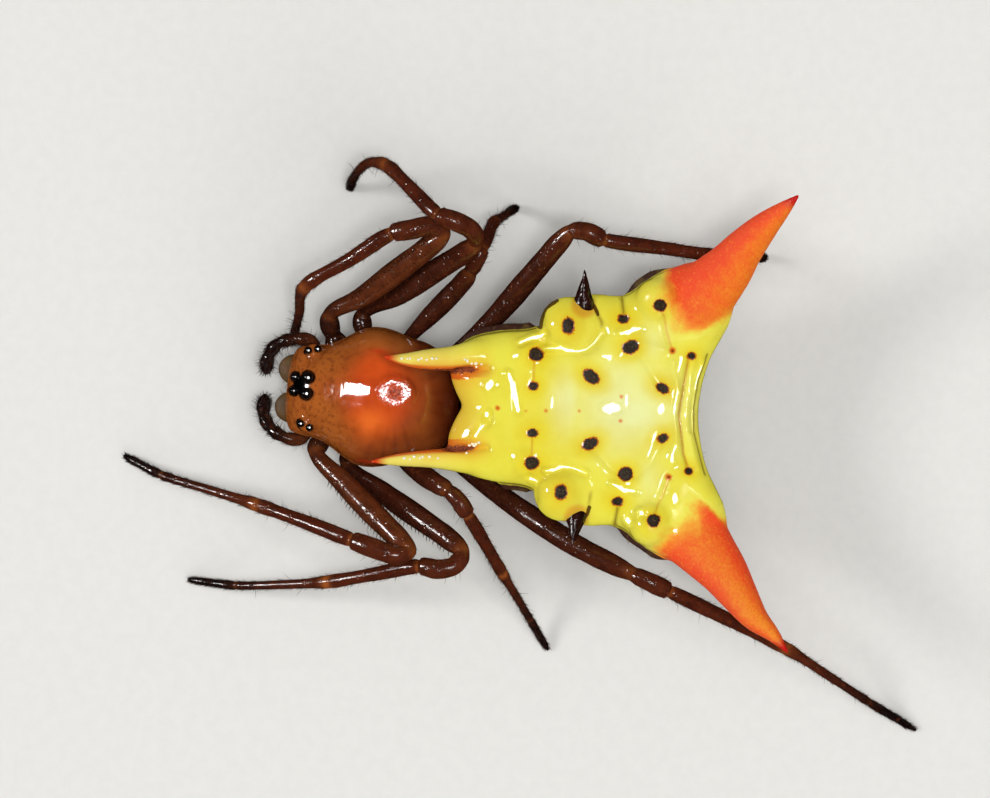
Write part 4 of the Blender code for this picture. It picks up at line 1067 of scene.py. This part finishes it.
def make_eyes():
    lens = plain_material("eye_lens", (10, 8, 8), (20, 14, 12), 6.0, 0.03, 0.0005)
    for place, level in GLINT_RADIUS.items():
        for side in ("left", "right"):
            name = f"eye_{place}_{side}"
            low, high, middle = box_of(name)
            radius = float((high - low).max()) / 2
            eye = ball(middle, (radius, radius, radius), segments=64, rings=48)
            cap = middle[2] + radius - level**2 / (2 * radius)
            cap = cap + (eye.points[:, :2] - middle[:2]) @ BAND_SLOPES
            eye.points[:, 2] = np.minimum(eye.points[:, 2], cap)
            add_piece(f"{name}_lens", eye, lens, [name])


def make_chelicerae(shell, hair, rng):
    horn = plain_material("fang", (52, 18, 10), (30, 10, 8), 8.0, 0.15)
    for name, side in (("left", 1), ("right", -1)):
        rows, _ = smooth_route(CHELICERA_SECTIONS, 0.02)
        up, ahead, out, depth, width = rows.T[:, :, None]
        angles = (2 * math.pi * np.arange(48) / 48)[None]
        body = loft(PROSOMA.at(ahead + depth * np.sin(angles), side * (out + width * np.cos(angles)), up))
        body.roughen(0.008, 0.16, SEED + 1)
        ahead, left = PROSOMA.read(body.points).T
        height = body.points[:, 2]
        body.fields["tint"] = painted(
            color(94, 64, 14),
            ((84, 46, 24), smoothstep(height, 1.0, 0.6)),
            ((96, 54, 26), 0.6 * smoothstep(np.abs(left), 0.12, 0.04)),
        )
        add_piece(f"chelicera_{name}_base", body, shell, [f"chelicera_{name}"])
        fang = [(*PROSOMA.at(forward, side * out, rise), radius) for forward, out, rise, radius in FANG]
        fang, _ = smooth_route(fang, 0.02)
        add_piece(f"fang_{name}", tube(fang, fang[:, 3], fang[:, 3], 16), horn)
        normals = body.normals()
        pick = rng.choice(len(body.points), 70, replace=False)
        pick = pick[(normals[pick, 1] < 0.3) & (height[pick] < 1.2)]
        ways = unit(normals[pick] + np.array((0, 0, -0.5)))
        lean = unit(np.array((0, 0, -1.0)) + rng.normal(0, 0.2, (len(pick), 3))) * 0.3
        places = np.stack([ahead[pick] - 1.2, np.abs(left[pick])], -1).clip(0, 1)
        lengths = rng.uniform(0.08, 0.18, len(pick))
        fuzz = bristles(body.points[pick], ways, lean, lengths, 0.006, places)
        add_piece(f"chelicera_{name}_hairs", fuzz, hair)


def limb_bristles(route, places, radius, at, around, lean, lengths, width, rng):
    """Bristles on a limb at those places and angles, leaning towards its end."""
    way, side, top = (unit(interpolated(at, places, table)) for table in frames_along(route))
    out = side * np.cos(around)[:, None] + top * np.sin(around)[:, None]
    roots = interpolated(at, places, route[:, :3]) + out * (np.interp(at, places, radius) * 0.94)[:, None]
    lean = np.broadcast_to(lean, at.shape)[:, None]
    start = unit(out * (1.0 - 0.6 * lean) + way * lean + rng.normal(0, 0.12, out.shape))
    bend = unit(way + out * 0.1) * 0.25 * lean
    span = np.stack([(at - places[0]) / (places[-1] - places[0]), around / (2 * math.pi)], -1)
    return bristles(roots, start, bend, lengths, width, np.clip(span, 0.0, 1.0))


def make_palps(shell, hair, rng):
    for (name, rows), side in zip(PALPS.items(), (1, -1)):
        route, _ = smooth_route([PROSOMA.at(ahead, side * out, up) for ahead, out, up in rows], 0.02)
        arc = arc_lengths(route)
        share = arc / arc[-1]
        radius = spline(share, PALP_SHAPE)
        limb = tube(route, radius, radius, LEG_SIDES)
        shares = np.append(np.repeat(share, LEG_SIDES), (0.0, 1.0))
        limb.fields["tint"] = painted(color(88, 44, 24), ((30, 14, 11), smoothstep(shares, 0.3, 0.6)))
        add_piece(f"palp_{name}_skin", limb, shell, [f"palp_{name}_root", f"palp_{name}_arm"])
        at = np.sqrt(rng.uniform(0.04, 0.97, PALP_HAIRS))
        around = rng.uniform(0, 2 * math.pi, PALP_HAIRS)
        erect = rng.uniform(0, 1, PALP_HAIRS) < 0.2
        long, short = (rng.uniform(*sizes, PALP_HAIRS) for sizes in ((0.12, 0.18), (0.06, 0.11)))
        lengths = np.where(erect, long, short)
        fuzz = limb_bristles(route, share, radius, at, around, np.where(erect, 0.3, 0.8), lengths, 0.005, rng)
        add_piece(f"palp_{name}_hairs", fuzz, hair)


def make_underside(shell):
    """Sternum, the two jaws beside the lip, the stalk to the abdomen, and the spinnerets."""
    ahead, up, half_length, half_width, half_height = STERNUM
    plate = ball(PROSOMA.at(ahead, 0.0, up), (half_width, half_length, half_height), -PROSOMA_YAW, 72, 48)
    here, left = PROSOMA.read(plate.points).T
    along = (here - ahead) / half_length
    scallop = 1.0 + 0.06 * np.cos(along * 4 * math.pi)
    narrowed = left * (scallop * (1.0 + 0.12 * along) - 1.0)
    plate.points += PROSOMA.at(0.0, narrowed, 0.0) - PROSOMA.at(0.0, 0.0, 0.0)
    plate.points[:, 2] += 0.01 * value_noise(plate.points, 0.2, SEED + 2)
    pale = bell(np.hypot(left / 0.14, along / 0.75))
    plate.fields["tint"] = painted(color(58, 28, 18), ((150, 118, 50), 0.7 * smoothstep(pale, 0.3, 0.7)))
    add_piece("sternum_plate", plate, shell, ["sternum"])

    mouth = merged(
        [ball(PROSOMA.at(*place), sizes, -PROSOMA_YAW + turn) for *place, sizes, turn in MOUTH]
    )
    here, _ = PROSOMA.read(mouth.points).T
    mouth.fields["tint"] = painted(color(70, 34, 20), ((170, 130, 70), 0.8 * smoothstep(here, 0.94, 1.06)))
    add_piece("jaws_and_lip", mouth, shell, ["mouthparts"])

    low, high, middle = box_of("pedicel")
    start, end = np.array((middle[0], low[1], middle[2])), np.array((middle[0], high[1], middle[2]))
    share = np.linspace(0.0, 1.0, 60)
    radius = 0.17 + 0.02 * np.cos(share * 2 * math.pi * 4) + 0.05 * (2 * share - 1) ** 2
    stalk = tube(start + (end - start) * share[:, None], radius, radius, 32)
    stalk.fields["tint"] = np.tile(color(70, 30, 18), (len(stalk.points), 1))
    add_piece("pedicel_rings", stalk, shell, ["pedicel"])

    low, high, middle = box_of("spinnerets")
    parts = []
    for step, radius in enumerate(SPINNERET_RING_RADII):
        lift = high[2] - 0.08 - 0.05 * step
        parts.append(ball((middle[0], middle[1], lift), (radius, radius, 0.075), 0.0, 48, 16))
    share = np.linspace(0.0, 1.0, 24)
    shape = np.sqrt(np.clip(1.0 - (share * 0.98) ** 3, 0.02, 1.0)) * (1.0 - 0.35 * share)
    for along, out, radius in SPINNERETS:
        for left in (out, -out):
            foot = ABDOMEN.at(SPINNERET_ALONG + (along - SPINNERET_ALONG) * 0.7, left * 0.7, low[2] + 0.02)
            top = ABDOMEN.at(along, left, high[2] - 0.14)
            parts.append(tube(top + (foot - top) * share[:, None], radius * shape, radius * shape, 24))
    cluster = merged(parts)
    height = (cluster.points[:, 2] - low[2]) / (high[2] - low[2])
    cluster.fields["tint"] = painted(color(44, 22, 16), ((96, 62, 36), 0.7 * smoothstep(height, 0.25, 0.05)))
    add_piece("spinneret_cluster", cluster, shell, ["spinnerets"])


# Abdomen


def shield_outline(count):
    """Evenly spread points of the shield's edge, all the way round, as along and left."""
    whole = [*SHIELD_EDGE, *((along, -out) for along, out in reversed(SHIELD_EDGE[1:-1]))]
    dense, places = smooth_route([(*p, 0.0) for p in (*whole[-3:], *whole, *whole[:4])], 0.02)
    loop = dense[(places >= 3) & (places <= 3 + len(whole))]
    arc = arc_lengths(loop)
    return interpolated(arc[-1] * np.arange(count) / count, arc, loop[:, :2])


def abdomen_body():
    along, left = shield_outline(420).T
    rings = []
    for scale, lift in smooth_route(ABDOMEN_RINGS, 0.03)[0]:
        depth = min(0.0, lift) / ABDOMEN_RINGS[-1][1]
        middle = ABDOMEN_MIDDLE + depth * (SPINNERET_ALONG - ABDOMEN_MIDDLE)
        here = middle + scale * (along - middle)
        tilt = shield_height(here) * (1.0 - depth) + shield_height(ABDOMEN_MIDDLE) * depth
        rings.append(ABDOMEN.at(here, scale * left, tilt + lift))
    crown = ABDOMEN.at(ABDOMEN_MIDDLE, 0.0, shield_height(ABDOMEN_MIDDLE) + ABDOMEN_CROWN)
    return loft(np.array(rings), crown)


def spine_route(rows, side):
    """A spine's centre line with its half width and half height, from the root to the tip."""
    points = [(*ABDOMEN.at(along, side * out, up), *sizes) for along, out, up, *sizes in rows]
    return smooth_route(points, 0.04)[0]


def remeshed(surface, voxel):
    """One even skin around overlapping closed surfaces."""
    data = surface.mesh("rough_skin", 1.0)
    obj = linked("rough_skin", data)
    remesh = obj.modifiers.new("even_skin", "REMESH")
    remesh.mode = "VOXEL"
    remesh.voxel_size = voxel
    result = bpy.data.meshes.new_from_object(obj.evaluated_get(bpy.context.evaluated_depsgraph_get()))
    points = np.empty(len(result.vertices) * 3)
    result.vertices.foreach_get("co", points)
    corners = np.empty(len(result.loops), np.int64)
    result.loops.foreach_get("vertex_index", corners)
    bpy.data.objects.remove(obj, do_unlink=True)
    bpy.data.meshes.remove(data)
    bpy.data.meshes.remove(result)
    return Surface(points.reshape(-1, 3), [corners.reshape(-1, 4)])


def spine_places(points, route):
    """Distance from the tip along a spine, and the place in its oval section, for each point."""
    arc = arc_lengths(route)
    nearest = np.zeros(len(points), int)
    chunk = 8000
    for start in range(0, len(points), chunk):
        away = ((points[start : start + chunk, None] - route[None, :, :3]) ** 2).sum(axis=-1)
        nearest[start : start + chunk] = away.argmin(axis=1)
    offset = points - route[nearest, :3]
    share, side, top = ((offset * axes[nearest]).sum(axis=1) for axes in frames_along(route))
    return arc[-1] - arc[nearest] - share, side, top, nearest


def sharpen_spine(skin, route, free_length):
    """Draws the skin's blunt end out to the spine's true tip and true section."""
    _, across, above = frames_along(route)
    arc = arc_lengths(route)
    back, side, top, nearest = spine_places(skin.points, route)
    wide, high = route[nearest, 3], route[nearest, 4]
    near = (back < free_length) & (np.hypot(side, top) < np.maximum(wide, high) * 1.5 + 0.08)
    back, flat, tall = back[near], (side / wide)[near], (top / high)[near]
    blunt = back.min()
    moved = back - blunt * np.clip(1.0 - back / (6 * blunt + 0.01), 0.0, 1.0)
    at = arc[-1] - np.clip(moved, 0.0, None)
    here = interpolated(at, arc, route)
    length = np.maximum(np.hypot(flat, tall), 1e-6)
    inner = np.where(back < blunt * 1.02 + 0.02, np.clip(length, 0, 1), 1.0)
    target = here[:, :3] + unit(interpolated(at, arc, across)) * (flat / length * inner * here[:, 3])[:, None]
    target += unit(interpolated(at, arc, above)) * (tall / length * inner * here[:, 4])[:, None]
    weight = smoothstep(back, free_length, free_length * 0.6)[:, None]
    skin.points[near] += (target - skin.points[near]) * weight


def spot_distance(plan, spot):
    """Distance in millimetres outside an oval spot's edge, negative inside."""
    at, out, half_length, half_width, turn = spot
    cos, sin = math.cos(math.radians(turn)), math.sin(math.radians(turn))
    along, left = (plan - (at, out)).T
    u = (along * cos + left * sin) / half_length
    v = (-along * sin + left * cos) / half_width
    return (np.hypot(u, v) - 1.0) * min(half_length, half_width)


def grains_on(skin, rng):
    """Small half sunk balls in rows on the skin, painted pale as highlights, whose other fields are those of
    a bare place.
    """
    plan = ABDOMEN.read(skin.points)
    bare = {name: 0.0 for name in skin.fields}
    # The grains' near white tint is a painted highlight
    bare |= {"tint": color(254, 250, 226), "sigil": 1.0, "dot": 1.0, "tip": 3.0, "point": 3.0, "groove": 1.0}
    grains = []
    for first, last, count, radius in GRAIN_ROWS:
        for share in np.linspace(0.0, 1.0, count):
            place = np.array(first) + (np.array(last) - first) * share + rng.normal(0, 0.018, 2)
            close = np.hypot(*(plan - place).T) < 0.06
            top = np.flatnonzero(close)[skin.points[close, 2].argmax()]
            size = radius * rng.uniform(0.7, 1.15)
            grain = ball(skin.points[top], (size, size, size * 0.8), 0.0, 12, 8)
            grain.fields = {name: np.array([value] * len(grain.points)) for name, value in bare.items()}
            grains.append(grain)
    return grains


def spine_fields(skin, spines, left):
    """What the points' places on the spines say of them."""
    free = np.ones(len(left))
    tip, point, front_point = np.full((3, len(left)), 3.0)
    redness, inner_edge = np.zeros((2, len(left)))
    for name, route in spines.items():
        row, side_name = name.split("_")
        back, side, top, nearest = spine_places(skin.points, route)
        wide = route[nearest, 3]
        close = np.hypot(side, top) < wide * 1.25 + 0.1
        length = SPINE_FREE_LENGTH[row]
        free = np.where(close, np.minimum(free, smoothstep(back, length * 0.7, length * 1.3)), free)
        outward = side / wide * (1.0 if side_name == "left" else -1.0)
        if row == "front":
            front_point = np.where(close, back, front_point)
            inner = smoothstep(outward, 0.40, 0.80) * smoothstep(back, 2.4, 1.3)
            inner_edge = np.where(close, np.maximum(inner_edge, inner), inner_edge)
            continue
        if side_name == "left":
            hot = np.maximum(smoothstep(outward, 0.1, 1.0), smoothstep(outward, -0.1, -1.0))
            hot = 0.2 + 0.7 * hot - 0.35 * smoothstep(back, 2.0, 0.9)
        else:
            hot = 0.2 + 0.8 * smoothstep(outward, -0.7, 0.9)
        here = (left > 0) == (side_name == "left")
        tip = np.where(here, back - spline(outward, RED_LENGTHS[name]), tip)
        redness = np.where(here, hot, redness)
        point = np.where(here & close, back, point)
    return free, tip, point, front_point, redness, inner_edge


def bare_abdomen(spines):
    """One skin round the body, its spines, side lobes and waist, before its relief."""
    parts = [abdomen_body()]
    parts += [tube(route, route[:, 3], route[:, 4], 48) for route in spines.values()]
    for side in (1, -1):
        for at, out, lift, radius, half_height in SIDE_LOBES:
            middle = ABDOMEN.at(at, side * out, shield_height(at) + lift)
            parts.append(ball(middle, (radius, radius, half_height)))
    at, up, half_length, half_width, half_height = ABDOMEN_WAIST
    parts.append(ball(ABDOMEN.at(at, 0.0, up), (half_width, half_length, half_height), ABDOMEN_TURN))
    skin = remeshed(merged(parts), SKIN_VOXEL)
    skin.relaxed(23, 0.5)
    for name, route in spines.items():
        sharpen_spine(skin, route, SPINE_FREE_LENGTH[name.split("_")[0]])
    return skin


def abdomen_tint(points, plan, below, sigil, crease, front_point, inner_edge, seam):
    """Colours of the abdomen; crease holds the distances from each kind of groove."""
    along, left = plan.T
    outwards = np.abs(left)
    mirrored = np.stack([along, outwards], axis=-1)
    # The pale middle of the back is partly its own pale patch and partly a painted sheen
    middle = np.maximum(blob(plan, (1.85, -0.12), (1.05, 0.85)), blob(plan, (0.65, -0.15), (0.34, 0.62)))
    middle = np.maximum(middle, 0.5 * blob(mirrored, (2.35, 1.35), (0.3, 0.5)))
    cloud = 0.5 + 0.5 * value_noise(points, 0.5, SEED + 6)
    from_horns = np.minimum(*(np.hypot(*(plan - place).T) for place in ((0.95, 2.14), (0.96, -2.06))))
    knob_rear = smoothstep(along, 1.12, 1.22) * smoothstep(outwards, 1.55, 1.75)
    rear = smoothstep(along, 2.9, 3.1) * smoothstep(outwards, 1.9, 1.5)
    deep = (232, 212, 48)
    return painted(
        color(236, 227, 76),
        # Pale middle: partly the back's own colour, partly painted sheen
        ((238, 240, 166), np.clip(middle * (0.75 + 0.5 * cloud), 0, 1)),
        (deep, 0.75 * smoothstep(sigil, 0.30, 0.05)),
        ((230, 208, 66), 0.6 * blob(plan, (0.62, -1.66), 0.45)),
        ((230, 208, 66), 0.6 * blob(plan, (0.62, 1.66), 0.45)),
        (deep, 0.5 * blob(plan, (0.12, -0.75), (0.5, 0.9))),
        (deep, 0.5 * blob(plan, (0.12, 0.78), (0.5, 0.9))),
        ((232, 186, 60), 0.75 * smoothstep(along, -0.7, -1.5) * smoothstep(outwards, 0.9, 0.4)),
        ((240, 220, 120), 0.6 * smoothstep(front_point, 2.2, 0.8)),
        ((234, 160, 40), 0.7 * bell(crease["front_groove"], 0.24) * smoothstep(along, -0.6, -1.2)),
        ((222, 112, 26), 0.5 * smoothstep(from_horns, 0.31, 0.18)),
        ((220, 84, 26), 0.9 * inner_edge),
        ((208, 60, 26), smoothstep(front_point, 0.40, 0.10)),
        ((104, 62, 14), 0.75 * bell(crease["side_slit"], 0.026)),
        ((116, 76, 14), 0.6 * knob_rear * bell(crease["knob_foot"], 0.04)),
        ((206, 120, 24), 0.6 * bell(crease["row_line"], 0.02)),
        ((206, 134, 24), 0.6 * bell(crease["rear_knob"], 0.022)),
        ((190, 116, 20), 0.8 * bell(crease["rear_fold"], 0.025)),
        ((96, 66, 14), 0.75 * bell(crease["margin_line"], 0.02)),
        ((34, 16, 10), rear * bell(below - 0.13, 0.08)),
        ((58, 36, 14), 0.85 * seam),
    )


def make_side_spines():
    """The short dark spines, one at each side."""
    thorn = plain_material("side_spine_horn", (26, 12, 10), (44, 16, 12), 6.0, 0.12, 0.01)
    for (name, rows), side in zip(SIDE_SPINES.items(), (1, -1)):
        route = spine_route(rows, side)
        horn = tube(route, route[:, 3], route[:, 4], 36)
        horn.roughen(0.012, 0.09, SEED + 7)
        add_piece(f"side_spine_{name}", horn, thorn)


def make_abdomen(hair, rng):
    spines = {name: spine_route(rows, 1 if name.endswith("left") else -1) for name, rows in SPINES.items()}
    skin = bare_abdomen(spines)
    plan = ABDOMEN.read(skin.points)
    along, left = plan.T
    outwards = np.abs(left)
    below = shield_height(along) - skin.points[:, 2]
    normals = skin.normals()
    free, tip, point, front_point, redness, inner_edge = spine_fields(skin, spines, left)
    on_top = smoothstep(normals[:, 2], 0.0, 0.45) * smoothstep(below, 0.35, 0.1) * free

    sigil = np.ones(len(along))
    relief = 0.005 * value_noise(skin.points, 0.7, SEED + 3)
    for spot in SIGILLA:
        away = spot_distance(plan, spot)
        sigil = np.minimum(sigil, away)
        size = min(spot[2:4])
        relief -= 0.07 * size * bell(np.maximum(away, 0.0), size) + 0.006 * smoothstep(away, 0.02, -0.03)
    crease = {}
    for name, (width, depth, lines) in CREASES.items():
        crease[name] = np.min([line_distance(plan, line) for line in lines], axis=0)
        relief -= depth * bell(crease[name], width)
    for width, height, line in RIDGES:
        relief += height * bell(line_distance(plan, line), width)
    for at, out, half_length, half_width, height in SWELLINGS:
        relief += height * blob(plan, (at, out), (half_length, half_width))
    flank = smoothstep(below, 0.10, 0.34) * smoothstep(normals[:, 2], 0.35, -0.05)
    flank = np.maximum(flank, smoothstep(below, 0.5, 0.7)) * smoothstep(point, 1.5, 2.4)
    turned = np.arctan2(left, along - ABDOMEN_MIDDLE)
    folds = np.sin(turned * 34 + 2.5 * np.sin(turned * 5) + skin.points[:, 2] * 2.0)
    relief_side = 0.035 * folds * smoothstep(below, 0.3, 0.6) * smoothstep(below, 2.1, 1.6)
    relief_side += 0.04 * value_noise(skin.points * (1, 1, 0.6), 0.3, SEED + 5) * flank
    skin.points += normals * (relief * on_top + relief_side * free)[:, None]
    for width, line in LEVEL_BANDS:
        away = line_distance(plan, line)
        middle = skin.points[(away < width) & (normals[:, 2] > 0.3)].mean(axis=0)
        skin.level(middle, BAND_SLOPES, smoothstep(away, width + BAND_FOOT, width) * on_top)
    bulge = np.zeros(len(along))
    for reach, side, first, last, ramp in SIDE_BULGES:
        window = smoothstep(along, first - 0.1, first + ramp) * smoothstep(along, last + 0.1, last - ramp)
        bulge = np.maximum(bulge, reach * window * (left * side > 0.6))
    seam = np.clip(bulge / 0.12, 0.0, 1.0) * bell(below - 0.05, 0.05)
    bulge *= smoothstep(below, 0.04, 0.22) * smoothstep(below, 1.0, 0.45) * free
    skin.points[:, :2] += unit(normals[:, :2]) * bulge[:, None]
    flank = np.maximum(flank, smoothstep(bulge, 0.01, 0.06))
    skin.relaxed(1, 0.3)

    stain = np.zeros(len(along))
    for width, line in STAINS:
        stain = np.maximum(stain, smoothstep(line_distance(plan, line), width * 1.5, width * 0.3))
    skin.fields = {
        "tint": abdomen_tint(skin.points, plan, below, sigil, crease, front_point, inner_edge, seam),
        "sigil": sigil,
        "dot": outside(plan, RED_DOTS),
        "tip": tip,
        "redness": redness,
        "point": point,
        "stain": stain,
        "flank": flank,
        "gloss": blob(plan, WET_SPOT, 0.08),
        "strip": smoothstep(below, 0.75, 0.45),
        "groove": crease["front_groove"] + 0.15 * (1.0 - smoothstep(along, -0.90, -1.30)),
    }
    whole = merged([skin, *grains_on(skin, rng)])
    add_piece("abdomen_skin", whole, abdomen_material(), ["abdomen"])
    make_side_spines()

    pick = rng.choice(len(normals), 9000, replace=False)
    chance = rng.uniform(0, 1, len(pick))
    wanted = 0.22 * flank[pick] + 0.4 * (stain[pick] > 0.5) * (outwards[pick] > 1.0)
    pick = pick[(chance < wanted) & (point[pick] > 2.0) & (front_point[pick] > 1.0)]
    out = normals[pick]
    ways = unit(out + np.array((0.0, 0.35, 0.0)) + rng.normal(0, 0.2, out.shape))
    span = np.stack([(along[pick] + 2.0) / 7.0, (left[pick] + 4.0) / 8.0], -1).clip(0, 1)
    lengths = rng.uniform(0.05, 0.13, len(pick))
    lean = np.array((0.0, 0.25, -0.05))
    fuzz = bristles(skin.points[pick] - out * 0.004, ways, lean, lengths, 0.0045, span)
    add_piece("abdomen_hairs", fuzz, hair)


# Legs


def leg_places(rows, route, places):
    """Place of each point on the leg, counted in stretches of its own arc length."""
    arc = arc_lengths(route)
    marks = np.cumsum([0, *(len(stretch) for stretch in rows)])
    marks[-1] -= 1
    return np.interp(arc, np.interp(marks, places, arc), range(len(marks)))


def leg_tint(name, place, up):
    """Colours along a leg, where up is how far each point faces up. Points that face down are darkened as
    painted shade, and on some legs the underside is lightened as painted light shining through.
    """
    marks = [mark for mark, _ in LEG_COLORS]
    shades = np.array([color(*paint) for _, paint in LEG_COLORS])
    light = 0.5 * smoothstep(place, 0.9, 1.2) * smoothstep(place, 2.1, 1.9) * (name[-1] == "1")
    lit_through = 0.75 if name in LIT_THROUGH_LEGS else 0.3
    # Painted light shining through the underside of these legs, from the patella to the metatarsus
    low = smoothstep(up, 0.55, -0.1) * smoothstep(place, 1.9, 2.3) * smoothstep(place, 4.9, 4.3)
    joints = [
        ((158, 84, 36), share * (0.4 + 0.8 * lit_through) * bell(place - joint, width))
        for joint, width, share in LEG_JOINTS
    ]
    coats = [((116, 58, 28), light), ((146, 72, 32), lit_through * low), *joints]
    tint = painted(interpolated(place, marks, shades), *coats)
    # Painted shade: points that face down are darkened
    return tint * (1.0 - 0.4 * smoothstep(up, 0.0, -0.9))[:, None]


def make_leg(name, rows, shell, hair, rng):
    route, places = smooth_route([point for stretch in rows for point in stretch], LEG_STEP)
    place = leg_places(rows, route, places)
    keep = (route[:, 2] > 0.03) | (place < 5.0)
    last = len(keep) if keep.all() else np.argmin(keep)
    route, place = route[:last], place[:last]
    cut = 6.0 - place[-1]
    radius = spline(place, LEG_SHAPE) * LEG_THICKNESS[name[-1]]
    radius *= 0.45 + 0.55 * smoothstep(place, 6.05 - cut, 5.80 - cut)
    limb = tube(route, radius, radius, LEG_SIDES)
    normals = limb.normals()
    limb.roughen(0.004, 0.20, SEED + 8)
    limb.points[:, 2] = np.maximum(limb.points[:, 2], 0.0)
    ring_places = np.append(np.repeat(place, LEG_SIDES), (place[0], place[-1]))
    limb.fields["tint"] = leg_tint(name, ring_places, normals[:, 2])
    add_piece(f"{name}_skin", limb, shell, [f"{name}_{node}" for node in LEG_NODES])

    groups = []
    for count, first, final, sizes, width, lean in LEG_BRISTLES:
        at = rng.uniform(first, min(final, place[-1] - 0.02), count)
        around = rng.uniform(0, 2 * math.pi, count)
        lengths = rng.uniform(*sizes, count)
        groups.append(limb_bristles(route, place, radius, at, around, lean, lengths, width, rng))
    if name[-1] in "12":
        at = np.linspace(1.22, 1.92, FEMUR_SPINES)
        _, across, above = (axes[np.searchsorted(place, at)] for axes in frames_along(route))
        forward = np.array((0.0, -1.0, 0.55))
        around = np.arctan2(above @ forward, across @ forward)
        for shift in FEMUR_SPINE_SHIFTS:
            angle = around + shift + rng.normal(0, 0.06, FEMUR_SPINES)
            lengths = rng.uniform(0.09, 0.12, FEMUR_SPINES)
            groups.append(limb_bristles(route, place, radius, at, angle, 0.45, lengths, 0.014, rng))
    add_piece(f"{name}_hairs", merged(groups), hair)


# Stage


def look_at(obj, target):
    way = Vector(target) - obj.location
    obj.rotation_euler = way.to_track_quat("-Z", "Y").to_euler()


def area_light(name, tilt, toward, distance, size, share, hidden):
    """A soft box whose light gives that share of full brightness on a white floor."""
    light = bpy.data.lights.new(name, "AREA")
    light.shape = "RECTANGLE"
    light.size, light.size_y = size
    light.energy = share * math.pi**2 * distance**2 / math.cos(math.radians(tilt))
    obj = linked(name, light)
    a, t = math.radians(toward), math.radians(tilt)
    obj.location = np.array((math.sin(a) * math.sin(t), -math.cos(a) * math.sin(t), math.cos(t))) * distance
    look_at(obj, (0.0, 0.0, MM))
    obj.visible_camera = False
    if hidden:
        setattr(obj, f"visible_{hidden}", False)


def make_stage():
    data = bpy.data.meshes.new("floor")
    corners = [(-1, -1), (1, -1), (1, 1), (-1, 1)]
    data.from_pydata([(x * FLOOR_HALF_SIZE, y * FLOOR_HALF_SIZE, 0) for x, y in corners], [], [(0, 1, 2, 3)])
    data.materials.append(floor_material())
    floor = linked("floor", data)
    floor.visible_glossy = False
    for light in LIGHTS:
        area_light(*light)

    world = bpy.data.worlds.new("studio")
    world.use_nodes = True
    background = world.node_tree.nodes["Background"]
    background.inputs["Color"].default_value = (0.95, 0.97, 1.0, 1.0)
    background.inputs["Strength"].default_value = 0.22
    world.cycles_visibility.glossy = False
    bpy.context.scene.world = world
    bpy.context.scene.view_settings.view_transform = "Standard"


def make_camera():
    """Straight above, with the head to the left of the picture."""
    data = bpy.data.cameras.new("camera")
    data.sensor_width = 36.0
    data.lens = data.sensor_width * CAMERA_DISTANCE / (SHOWN_WIDTH * MM)
    data.clip_start = 0.01
    data.clip_end = 10.0
    camera = linked("camera", data)
    x, y, z = (place * MM for place in CAMERA_TARGET)
    camera.location = (x, y, z + CAMERA_DISTANCE)
    camera.rotation_euler = (0.0, 0.0, math.radians(90.0))
    bpy.context.scene.camera = camera


def main():
    rng = np.random.default_rng(SEED)
    leg_shell = shell_material("leg_cuticle", 0.12, 0.013)
    body_shell = shell_material("under_cuticle", 0.28, 0.006)
    jaw_shell = shell_material("jaw_cuticle", 0.62, 0.004)
    hair = plain_material("hair", (26, 14, 10), (52, 28, 18), 3.0, 0.35)
    pale_hair = plain_material("pale_hair", (92, 70, 44), (140, 110, 70), 3.0, 0.4)
    make_carapace()
    make_eyes()
    make_chelicerae(jaw_shell, hair, rng)
    make_palps(leg_shell, hair, rng)
    make_underside(body_shell)
    make_abdomen(pale_hair, rng)
    for name, rows in LEGS.items():
        make_leg(name, rows, leg_shell, hair, rng)
    make_stage()
    make_camera()


main()
